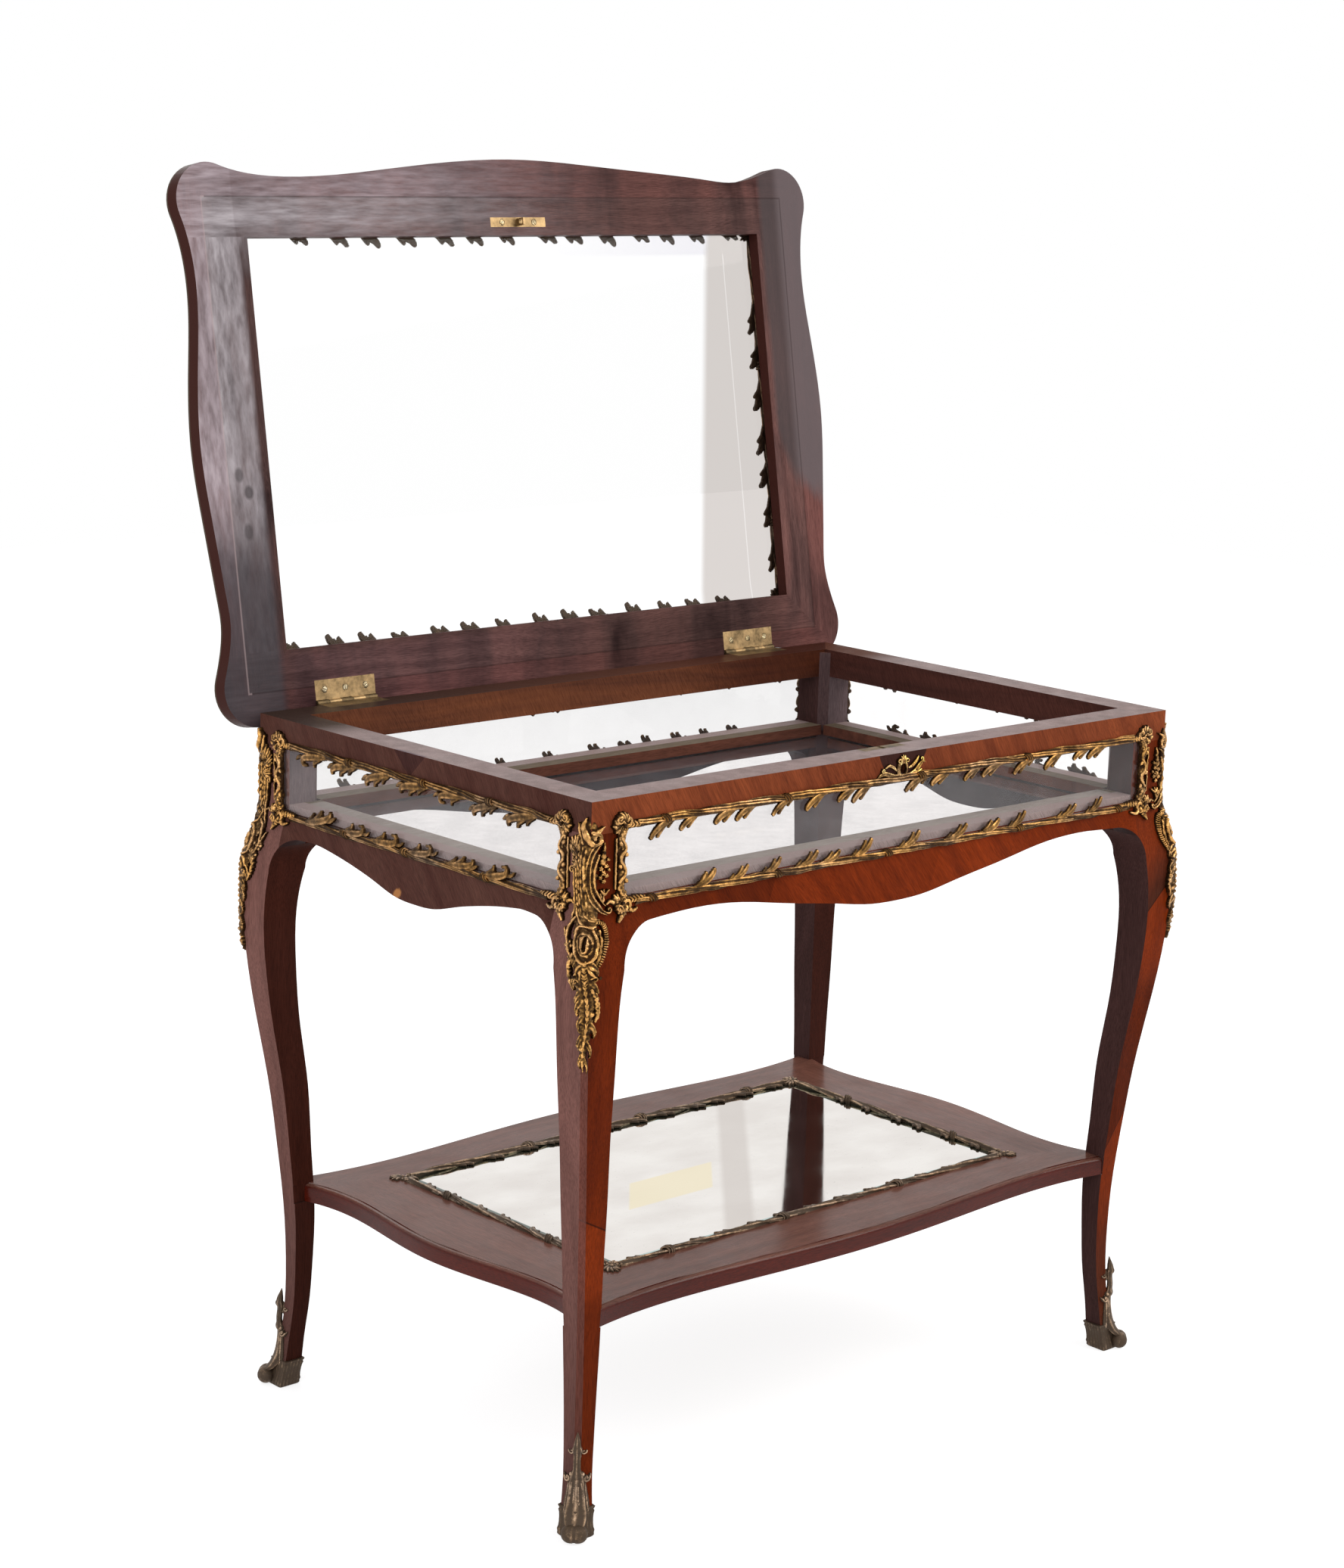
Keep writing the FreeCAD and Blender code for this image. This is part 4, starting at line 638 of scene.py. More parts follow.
def cast(name, relief, place, sink=None, back=None):
    """Closed casting of a relief. place(u, v, h) gives metres for arrays in millimetres."""
    sink = ornament().sunk / MM if sink is None else sink
    height = relief.height
    inside = height > EDGE_HEIGHT
    cells = inside[:-1, :-1] & inside[1:, :-1] & inside[:-1, 1:] & inside[1:, 1:]
    used = np.zeros_like(inside)
    first, last = slice(0, -1), slice(1, None)
    for part in ((first, first), (last, first), (first, last), (last, last)):
        used[part] |= cells
    index = np.full(height.shape, -1)
    total = int(used.sum())
    index[used] = np.arange(total)
    across, up = np.meshgrid(relief.u, relief.v)
    u, v, h = across[used], up[used], height[used]
    top = np.stack(place(u, v, h), 1)
    low = np.stack(place(u, v, np.full_like(h, -sink)), 1)
    a, b = index[:-1, :-1], index[:-1, 1:]
    c, d = index[1:, 1:], index[1:, :-1]
    face = np.stack([a[cells], b[cells], c[cells], d[cells]], 1)
    quads = [face, face[:, ::-1] + total]
    framed = np.pad(cells, 1)
    for shift, start, end in (((1, 0), a, b), ((0, -1), b, c), ((-1, 0), c, d), ((0, 1), d, a)):
        free = cells & ~np.roll(framed, shift, (0, 1))[1:-1, 1:-1]
        s, e = start[free], end[free]
        quads.append(np.stack([s, s + total, e + total, e], 1))
    quads = np.vstack(quads)
    if mirrored(place, u[0], v[0]):
        quads = quads[:, ::-1]
    smooth = np.arange(len(quads)) < 2 * len(face)
    # Ridges lighter and hollows darker than the casting round them: rubbing and dirt, with painted highlights
    # on the ridges and painted shade in the hollows.
    mask = inside.astype(float)
    close, wide = (blurred(height * mask, times) / np.maximum(blurred(mask, times), 0.001) for times in (5,
                                                                                                         36))
    ridge, lift = h - close[used], h - wide[used]
    wear = 0.47 + np.where(ridge > 0, 0.90, 0.40) * ridge + np.where(lift > 0, 0.20, 0.10) * lift
    wear = np.clip(wear, 0, 1)
    under = 0.4 * wear if back is None else np.full(total, back)
    return mesh_object(name, np.vstack([top, low]), quads, smooth, np.concatenate([wear, under]))


def joined(name, pieces):
    """One object from several, under the given name."""
    with bpy.context.temp_override(active_object=pieces[0], object=pieces[0], selected_objects=pieces,
                                   selected_editable_objects=pieces):
        bpy.ops.object.join()
    pieces[0].name = name
    pieces[0].data.name = name
    return pieces[0]


def mount(piece, material, body, slot, *nodes):
    """Puts a finished mount on its body, with its material and the nodes it stands for."""
    if material:
        piece.data.materials.clear()
        piece.data.materials.append(material)
    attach(piece, body)
    if nodes:
        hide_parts(*nodes)


# ---- Studio

class DISPLAY_TABLE_OT_studio(bpy.types.Operator):
    """Pale floor, soft lights, surround and camera"""
    bl_idname = "display_table.studio"
    bl_label = "Studio"

    def execute(self, context):
        settings = studio()
        scene = context.scene
        scene.view_settings.view_transform = "Standard"
        self.camera(scene, settings)
        self.floor(scene, settings)
        self.world(scene, settings)
        self.lamp(scene, "key", (1.9, -2.6, 2.9), 2.2, settings.key, (1.0, 0.965, 0.92))
        self.lamp(scene, "fill", (-2.9, -0.9, 1.9), 2.0, settings.fill, (0.95, 0.96, 1.0))
        self.lamp(scene, "rear", (0.6, 2.6, 2.6), 2.0, settings.fill, (1.0, 1.0, 1.0))
        return {"FINISHED"}

    def camera(self, scene, settings):
        camera = bpy.data.cameras.new("camera")
        camera.lens = settings.lens
        camera.sensor_width = 36.0
        camera.clip_end = 50.0
        azimuth, elevation, roll = (math.radians(a) for a in (-42.67, 11.95, 1.74))
        back = Vector((math.sin(azimuth) * math.cos(elevation), -math.cos(azimuth) * math.cos(elevation),
                       math.sin(elevation)))
        right = (-back).cross(Vector((0, 0, 1))).normalized()
        up = right.cross(-back)
        across = right * math.cos(roll) + up * math.sin(roll)
        upward = up * math.cos(roll) - right * math.sin(roll)
        turn = Matrix((across, upward, back)).transposed().to_4x4()
        turn.translation = (-2.32606, -2.44424, 1.37314)
        eye = bpy.data.objects.new("camera", camera)
        eye.matrix_world = turn
        scene.collection.objects.link(eye)
        scene.camera = eye

    def lamp(self, scene, name, place, size, power, tint):
        data = bpy.data.lights.new(name, "AREA")
        data.shape = "SQUARE"
        data.size = size
        data.energy = power
        data.color = tint
        made = bpy.data.objects.new(name, data)
        made.location = place
        aim = Vector((0, 0, 0.55)) - Vector(place)
        made.rotation_euler = aim.to_track_quat("-Z", "Y").to_euler()
        scene.collection.objects.link(made)

    def floor(self, scene, settings):
        """Pale paper that gives off light of its own where the camera sees it."""
        paint = Paint("floor_paper")
        full = tuple(settings.floor)
        tone = paint.mix(paint.span(paint.noise(1.5, detail=2), 0.3, 0.7), scaled(full, 0.97), full)
        paper = paint.node("BsdfDiffuse", {"Color": tone})
        glow = paint.node("Emission", {"Color": WHITE, "Strength": settings.glow})
        faded = paint.node("BsdfDiffuse", {"Color": paint.tint(tone, grey(settings.shadow))})
        seen = paint.node("AddShader", {0: faded, 1: glow})
        size = 6.0
        mesh = bpy.data.meshes.new("floor")
        mesh.from_pydata([(-size, -size, 0), (size, -size, 0), (size, size, 0), (-size, size, 0)], [],
                         [(0, 1, 2, 3)])
        both = paint.node("MixShader", {0: paint.rays("Camera", "Glossy"), 1: paper, 2: seen})
        mesh.materials.append(paint.shown(both))
        made = bpy.data.objects.new("floor", mesh)
        scene.collection.objects.link(made)

    def world(self, scene, settings):
        """White surround, dimmer as a light than as it is seen."""
        world = bpy.data.worlds.new("surround")
        world.use_nodes = True
        sky = Nodes(world.node_tree)
        strength = sky.span(sky.rays("Camera", "Glossy", "Transmission"), 0.0, 1.0, settings.world, 1.0)
        sky.end("World", sky.node("Background", {"Color": WHITE, "Strength": strength}))
        scene.world = world


# ---- Woods, glass and fittings of the CAD nodes

class DISPLAY_TABLE_OT_case_woods(bpy.types.Operator):
    """Veneers of the legs, aprons, rails and ledges"""
    bl_idname = "display_table.case_woods"
    bl_label = "Case woods"

    def execute(self, context):
        look = finish()
        # Insides: a dark stain, darkened further as painted shade.
        stained_and_shaded = tuple(look.inner), scaled(look.inner, 0.6)
        steep, gentle = math.radians(38), math.radians(28)
        legs = case_wood("leg_veneer", UPRIGHT, 3, *stained_and_shaded, joints=self.leg_joints,
                         side=tuple(look.leg_side), leg=True)
        dress(legs, *group("leg", CORNER_NAMES))
        dress(case_wood("apron_veneer", (0.0, steep, 0.0), 5, *stained_and_shaded, joints=self.apron_joints, lip=LEDGE),
              "apron_front", "apron_back")
        dress(case_wood("end_apron_veneer", (steep, 0.0, 0.0), 7, *stained_and_shaded, lip=LEDGE, cover=self.chip),
              "apron_left", "apron_right")
        rails = case_wood("rail_veneer", (0.0, gentle, 0.0), 9, (0.215, 0.070, 0.030), (0.080, 0.030, 0.020),
                          joints=self.rail_patch, tint=(1.12, 1.95, 4.6), inner_turn=ALONG_X,
                          cover=self.rail_shade)
        dress(rails, "upper_rail_front", "upper_rail_back")
        end_rails = case_wood("end_rail_veneer", (gentle, 0.0, 0.0), 11, (0.105, 0.036, 0.027),
                              (0.052, 0.020, 0.016), inner_turn=ALONG_Y, cover=self.end_patch)
        dress(end_rails, "upper_rail_left", "upper_rail_right")
        ledges = veneer("ledge_wood", (0.44, 0.39, 0.355), (0.35, 0.30, 0.27), ALONG_X, 13,
                        self.ledge_shade, rough=0.6)
        dress(ledges, "ledge_strips", "floor_ledgers")
        return {"FINISHED"}

    def chip(self, paint, tone):
        """Pale chip on the left apron's edge."""
        px, py, pz = paint.parts(paint.place)
        ragged = paint.noise(400) * 0.005 + pz
        spot = (0.3250, 0.5965, 0.0060, 0.0060, (0.520, 0.220, 0.075), 0.9)
        return paint.mix(px < -0.41, tone, marked(paint, tone, (pz * 0.5 + py, ragged), (spot,)))

    def end_patch(self, paint, tone):
        """Dark sheet of veneer in the middle of the end rails."""
        px, py, pz = paint.parts(paint.place)
        inside = abs(py - 0.011) < paint.span(pz, 0.717, 0.739, 0.001, 0.024)
        return paint.mix(inside * (abs(px) > 0.412), tone, paint.tint(tone, (0.62, 0.58, 0.66)))

    def rail_shade(self, paint, tone):
        """Darker right half of the back rail's inner face."""
        px, py, _ = paint.parts(paint.place)
        right = (py > 0.1) * paint.ease(px, 0.10, 0.30)
        return paint.mix(right, tone, paint.tint(tone, (0.50, 0.42, 0.42)))

    def leg_joints(self, paint, tone):
        """Slanting joints where one sheet of veneer meets the next."""
        px, _, pz = paint.parts(paint.place)
        right = px > 0.0
        high = px * -0.9 + (pz - 0.170)
        low = px * -1.71 + (pz + 0.399)
        left = px * 0.53 + (pz - 0.113)
        murky = paint.mix(paint.ease(high, 0.0, 0.075, 0.88, 0.25), tone, (0.050, 0.017, 0.010))
        fading = paint.ease(pz, 0.47, 0.42, 1.0, 0.48)
        right_tone = paint.mix(low > 0.0, paint.tint(tone, (0.92, 0.92, 0.90)), paint.tint(tone, fading))
        right_tone = paint.mix(high > 0.0, right_tone, murky)
        foot = paint.ease(pz, 0.20, 0.07, 0.0, 0.65)
        right_tone = paint.mix(foot, right_tone, (0.075, 0.027, 0.014))
        sunk = paint.ease(pz, 0.262, 0.225, 1.0, 0.62)
        left_tone = paint.mix(left > 0.0, paint.tint(tone, sunk), paint.tint(tone, (0.68, 0.66, 0.66)))
        tone = paint.mix(right, left_tone, right_tone)
        near = paint.least(right * -1.0 + (paint.least(abs(high), abs(low)) + 1.0), abs(left) + right)
        return paint.mix(paint.span(near, 0.0004, 0.0014, 0.75, 0.0), tone, (0.012, 0.005, 0.003))

    def apron_joints(self, paint, tone):
        """Sheets of veneer along the long aprons, each with its own depth of tone."""
        px, _, pz = paint.parts(paint.place)
        stops = ((0.0, grey(0.66)), (0.27, grey(0.92)), (0.56, grey(1.06)), (0.80, grey(0.9)))
        return paint.tint(tone, paint.ramp(paint.span(pz * -0.35 + px, -0.62, 0.20), stops, True))

    def rail_patch(self, paint, tone):
        """Small dark sheet of veneer round the keyhole."""
        px, py, pz = paint.parts(paint.place)
        inside = (abs(px) < paint.span(pz, 0.717, 0.738, 0.022, 0.034)) * (py < 0.0)
        return paint.mix(inside, tone, (0.050, 0.018, 0.014))

    def ledge_shade(self, paint, share, tone):
        """Reddish under the ledges' dusty tops, which are darker at the back and on the right."""
        px, py, _ = paint.parts(paint.place)
        red = paint.mix(share, (0.060, 0.024, 0.018), (0.165, 0.062, 0.040))
        tone = paint.mix(paint.most(px > 0.36, py > 0.21), tone, paint.tint(tone, (0.50, 0.44, 0.34)))
        return paint.mix(facing(paint)[2], red, tone)


class DISPLAY_TABLE_OT_lid_woods(bpy.types.Operator):
    """Veneer of the lid, with its worn underside and a haze of painted sheen and bloom"""
    bl_idname = "display_table.lid_woods"
    bl_label = "Lid woods"

    def execute(self, context):
        look = finish()
        woods = (("lid_wood_across", ALONG_X, ("front", "back")),
                 ("lid_wood_upright", NEARLY_UPRIGHT, ("left", "right")))
        for number, (name, turn, members) in enumerate(woods):

            def cover(paint, tone):
                return self.outside(paint, self.wear(paint, tone), turn, 31 + number)

            wood = veneer(name, tuple(look.lid), tuple(look.lid_dark), turn, 15 + 2 * number, bands=110,
                          rough=0.40, cover=cover)
            dress(wood, *group("lid_frame", members))
        return {"FINISHED"}

    def outside(self, paint, tone, turn, seed):
        """Polished veneer on the lid's top and edges, with a darker line near its moulding."""
        look = finish()
        share = wood_figure(paint, turn, seed, 55, 0.80)[0]
        polished = paint.mix(share, scaled(look.front_dark, 0.75),
                             tuple(0.72 * c + 0.006 for c in look.front))
        worn = paint.span(paint.noise(11, detail=4), 0.45, 0.70, 0.0, 0.35)
        polished = paint.mix(worn, polished, (0.120, 0.052, 0.034))
        upper = paint.vector("DOT_PRODUCT", paint.normal, LID_OUT)
        polished = paint.mix(paint.span(upper, 0.5, 0.8), (0.055, 0.016, 0.012), polished)
        return paint.mix(paint.span(upper, -0.55, -0.85), polished, tone)

    def wear(self, paint, tone):
        """Haze on the left, of painted sheen and dull bloom, redder wood on the right, smudges, and the joint
        round the inner frame, which is a pale painted highlight on the left.
        """
        look = finish()
        px, _, pz = paint.parts(paint.place)
        up = paint.span(pz, LID_PIN_Z * MM, 1.2831, 0.0, 0.5513)
        seam_left, seam_right, seam_low, seam_high = -0.4205, 0.4095, 0.0183, 0.5333
        ring = paint.most(px - seam_right, seam_left - px, up - seam_high, seam_low - up)
        glass_middle, glass_half = 1.0117, 0.2123
        rails = abs(pz - glass_middle) > glass_half
        cloud = paint.noise(paint.mix(rails, (24, 24, 4), (4, 24, 40)), detail=4)
        fine = paint.noise(paint.mix(rails, (150, 150, 30), (30, 150, 220)))
        moved = paint.vector("ADD", paint.place, (2.1, 0.4, 1.3))
        smudge = paint.noise((14, 14, 4.5), detail=4, warp=0.4, at=moved)
        smudges = ((0.30, (0.36, 0.34, 0.36)), (0.46, grey(0.85)), (0.62, (1.30, 1.18, 1.14)))
        tone = paint.tint(tone, paint.ramp(smudge, smudges))
        outer = paint.span(ring, -0.0004, 0.0004)
        tone = paint.mix(outer, tone, paint.tint(tone, (1.10, 0.95, 0.94)))
        # Haze on the left stile and the upper left: painted sheen over the polish's dull bloom.
        left = paint.ease(px, -0.374, -0.384) * paint.ease(pz, 0.82, 1.00, 0.32, 1.0)
        high = paint.ease(pz, 1.17, 1.25) * paint.ease(px, 0.20, -0.34)
        sheen_haze = paint.most(left, high * 0.8) * paint.span(cloud, 0.36, 0.60, 0.62, 1.0)
        sheen_haze = sheen_haze * paint.span(fine, 0.3, 0.7, 0.40, 1.0)
        bloom = paint.mix(outer, tuple(look.haze), scaled(look.haze, (1.0, 0.92, 0.94)))
        tone = paint.mix(sheen_haze * 0.92, tone, bloom)
        slate = paint.ease(px, -0.368, -0.382, 0.0, 0.7) * paint.ease(pz, 0.98, 0.87)
        tone = paint.mix(slate, tone, (0.050, 0.048, 0.056))
        slaty = (0.060, 0.050, 0.052)
        tone = marked(paint, tone, (px, up), ((-0.4064, 0.2457, 0.0055, 0.0080, slaty, 0.6),
                                              (-0.3962, 0.2270, 0.0060, 0.0075, slaty, 0.7),
                                              (-0.4010, 0.1863, 0.0060, 0.0090, slaty, 0.6)))
        edge = cloud * 0.10 + (px * 1.2 + pz)
        blue = paint.ease(edge, 1.47, 1.51) * paint.span(px, 0.372, 0.380)
        tone = paint.mix(blue * 0.72, tone, (0.088, 0.070, 0.072))
        pale = blue * paint.ease(px, 0.396, 0.412, 0.0, 0.40)
        tone = paint.mix(pale, tone, (0.235, 0.190, 0.200))
        right = paint.ease(px, 0.34, 0.38) * (1.0 - blue)
        tone = paint.mix(right, tone, paint.tint(tone, (1.40, 1.34, 1.34)))
        low = paint.span(pz, 0.80, 0.79) * paint.span(px, 0.36, 0.34)
        sides = ((0.02, grey(0.9)), (0.06, (1.22, 1.22, 1.36)), (0.35, (1.28, 1.26, 1.36)),
                 (0.62, grey(0.85)))
        tone = paint.mix(low, tone, paint.tint(tone, paint.ramp(paint.span(px, -0.40, 0.40), sides)))
        line = paint.span(abs(ring), 0.0003, 0.0014, 0.42, 0.0)
        # The joint is a dark line, except on the left stile, where it is a pale painted highlight.
        joint_and_highlight = paint.mix(paint.span(px, -0.416, -0.417), (0.020, 0.010, 0.009), (0.50, 0.38, 0.38))
        return paint.mix(line, tone, joint_and_highlight)


class DISPLAY_TABLE_OT_shelf_woods(bpy.types.Operator):
    """Veneer of the shelf"""
    bl_idname = "display_table.shelf_woods"
    bl_label = "Shelf woods"

    def execute(self, context):
        look = finish()
        for name, turn, seed, members in (("shelf_veneer_across", ALONG_X, 21, ("front", "back")),
                                          ("shelf_veneer_deep", ALONG_Y, 23, ("left", "right"))):
            wood = veneer(name, tuple(look.shelf), scaled(look.shelf, 0.50), turn, seed, bands=90, rough=0.36,
                          coat=0.36, cover=self.edges)
            dress(wood, *group("shelf_frame", members))
        dress(veneer("backing_wood", (0.20, 0.12, 0.07), (0.12, 0.07, 0.04), ALONG_X, 25, rough=0.6),
              "mirror_backing", "shelf_dowels")
        return {"FINISHED"}

    def edges(self, paint, tone):
        """The shelf's edge is darker and redder than its top, its own colour with painted shade, and pale
        along the rubbed arris, with a painted highlight there.
        """
        top = paint.span(paint.parts(paint.normal)[2], 0.5, 0.8)
        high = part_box("shelf_frame_front")[1].z
        # Pale line along the top arris: rubbing with a painted highlight.
        arris = paint.span(paint.parts(paint.place)[2], high - 0.0022, high - 0.0010)
        worn = arris * paint.span(paint.noise((12, 12, 1), detail=2), 0.45, 0.60)
        # The edge: darker and redder, partly painted shade.
        edge = paint.mix(worn * 0.55, paint.tint(tone, (0.50, 0.12, 0.06)), (0.42, 0.33, 0.29))
        return paint.mix(top, edge, tone)


class DISPLAY_TABLE_OT_glazing(bpy.types.Operator):
    """Panes, floor glass, lid glass and shelf mirror"""
    bl_idname = "display_table.glazing"
    bl_label = "Glazing"

    def execute(self, context):
        tint = tuple(finish().glass)
        dusty = {"haze": (0.75, 0.72, 0.72), "dust": 0.03, "share": 0.7}
        dress(window("pane_glass", tint, **dusty), *group("side_pane", ("front", "left", "right")))
        dress(window("back_pane_glass", scaled(tint, 0.92), **dusty), "side_pane_back")
        dress(window("lid_window", grey(0.998), gloss=1.0, share=0.25, cloudy=1.0, bevel=self.bevel),
              "lid_glass")
        dress(window("floor_window", (0.955, 0.940, 0.935), (0.26, 0.27, 0.30), 0.13, share=0.10),
              "floor_glass")
        dress(self.mirror(), "shelf_mirror")
        return {"FINISHED"}

    def mirror(self):
        """Old silvering with a bevel, and a pale band and a yellowish patch that are painted reflections."""
        paint = Paint("silver_mirror")
        smear = paint.noise((9, 14, 9), detail=4)
        foxed = paint.span(paint.noise(420, detail=2), 0.70, 0.76, 1.0, 0.72)
        tone = paint.mix(paint.span(smear, 0.35, 0.65), (0.75, 0.705, 0.665), (0.86, 0.825, 0.785))
        tone = paint.tint(tone, foxed)
        px, py, _ = paint.parts(paint.place)
        low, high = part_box("shelf_mirror")
        rim = paint.most(abs(px) - high.x, abs(py) - high.y) > -0.0115
        tone = paint.mix(rim, tone, (0.46, 0.58, 0.55))
        tone = paint.mix(paint.span(px, low.x + 0.0135, low.x + 0.0120), tone, (0.105, 0.135, 0.115))
        # Painted reflection: a pale slanting band.
        slant = py * -0.9 + px
        band = paint.ease(slant, 0.012, 0.024) * paint.ease(slant, 0.066, 0.054)
        tone = paint.mix(band * 0.75, tone, (0.60, 0.545, 0.505))
        # Painted reflection: a yellowish patch.
        patch = 0.85
        soft = 0.0015
        for value, start, stop in ((slant, -0.117, 0.0035), (py, -0.0507, 0.012)):
            inside = paint.span(value, start - soft, start + soft) * paint.span(value, stop + soft,
                                                                                stop - soft)
            patch = inside * patch
        tone = paint.mix(patch, tone, (0.86, 0.76, 0.52))
        return paint.done(Base_Color=tone, Metallic=1.0, Roughness=paint.span(smear, 0.3, 0.7, 0.03, 0.09))

    def bevel(self, paint, tone):
        """Ground bevel of the lid's glass, seen from under the lid: its edge line, and its band along the top
        greyed as a painted reflection; and a grey zone, a painted reflection, over the right-hand side.
        """
        px, _, pz = paint.parts(paint.place)
        outer = paint.node("NewGeometry", (), "Backfacing")
        # Bevel band along the top, greyed more towards the right as a painted reflection.
        top = paint.span(pz, 1.196, 1.201) * paint.span(px, 0.0, 0.28, 0.0, outer)
        tone = paint.mix(top, tone, (0.86, 0.85, 0.89))
        # Painted reflection: a grey zone over the right-hand side.
        across = pz * -0.1342 + (px + 0.0993)
        tone = paint.mix(paint.ease(across, 0.2320, 0.2450, 0.0, outer), tone,
                         (0.665, 0.625, 0.600))
        line = paint.span(abs(px - 0.3275), 0.0003, 0.0012, 0.8, 0.0) * (outer * (pz < 1.200))
        return paint.mix(line, tone, (0.84, 0.81, 0.79))


class DISPLAY_TABLE_OT_fittings(bpy.types.Operator):
    """Hinges, lock, strike plate, screws and pins"""
    bl_idname = "display_table.fittings"
    bl_label = "Fittings"

    def execute(self, context):
        look = finish()
        old = plain_metal("aged_brass", tuple(look.brass), scaled(look.brass, 0.30), 0.34)
        dress(old, *group("hinge_moving_leaf", ("left", "right")), "lid_screws", "strike_plate")
        dull = plain_metal("tarnished_brass", scaled(look.brass, 0.55), (0.050, 0.040, 0.024), 0.45)
        dress(dull, *group("hinge_fixed_leaf", ("left", "right")), "hinge_pins", "lock_selvedge",
              "case_screws")
        iron = plain_metal("lock_iron", (0.42, 0.41, 0.40), (0.18, 0.17, 0.16), 0.38)
        dress(iron, "lock_case", "lock_bolt")
        patina = cast_metal("patinated_cast", tuple(look.patina), tuple(look.patina_dark), 0.42, 0.6)
        dress(patina, "lid_edge_moulding", "lid_glass_trim", "mirror_trim", *group("sabot", CORNER_NAMES))
        gilt = cast_metal("gilded_cast", tuple(look.gilt), tuple(look.gilt_dark), 0.27)
        # A darker, cooler copy of the gilding for the end faces' rods and leaves: painted shade.
        cast_metal("dull_cast", scaled(look.gilt, (0.68, 0.68, 0.74)), tuple(look.gilt_dark), 0.30)
        dress(gilt, "mount_pins", "escutcheon", *group("pane_frame"))
        return {"FINISHED"}


# ---- Corner chutes

def corner_place(sign_x, sign_y, offset):
    """Wraps a drawing round a corner: u = 0 on the arris, positive u on the front or back face."""
    flat = 3.5
    edge = flat * math.sqrt(2)

    def place(u, v, h):
        swell = np.interp(v, offset[:, 0], offset[:, 1])
        along = np.clip(np.abs(u) - flat, 0, None)
        share = np.clip(np.abs(u) / flat, 0, 1)
        near, far = edge / 2 * (1 - share), edge / 2 * (1 + share)
        a, b = (swell - np.where(way > 0, far, near) - np.where(way > 0, along, 0) for way in (u, -u))
        t = np.clip(np.abs(u) / 8.0, 0, 1)
        bend = np.sign(u) * (t * t * (3 - 2 * t)) * math.radians(45) + math.radians(45)
        a = a + h * np.cos(bend)
        b = b + h * np.sin(bend)
        return sign_x * (HALF_WIDTH + a) * MM, sign_y * (HALF_DEPTH + b) * MM, v * MM

    return place


def leg_swell(v_low, v_high):
    """Rows of (height, offset of the leg's outer face), felt on the front right leg."""
    points, faces = [], []
    for name in ("leg_front_right", "upper_rail_front"):
        start = len(points)
        points += [v.co.copy() for v in NODES[name].data.vertices]
        faces += [[start + i for i in p.vertices] for p in NODES[name].data.polygons]
    tree = BVHTree.FromPolygons(points, faces)
    rows = []
    for v in np.arange(v_low, v_high, 2.0):
        hit, *_ = tree.ray_cast(Vector(((HALF_WIDTH - 20) * MM, -1.0, v * MM)), Vector((0, 1, 0)))
        if hit is not None:
            rows.append((v, -hit.y / MM - HALF_DEPTH))
    return np.array(rows)


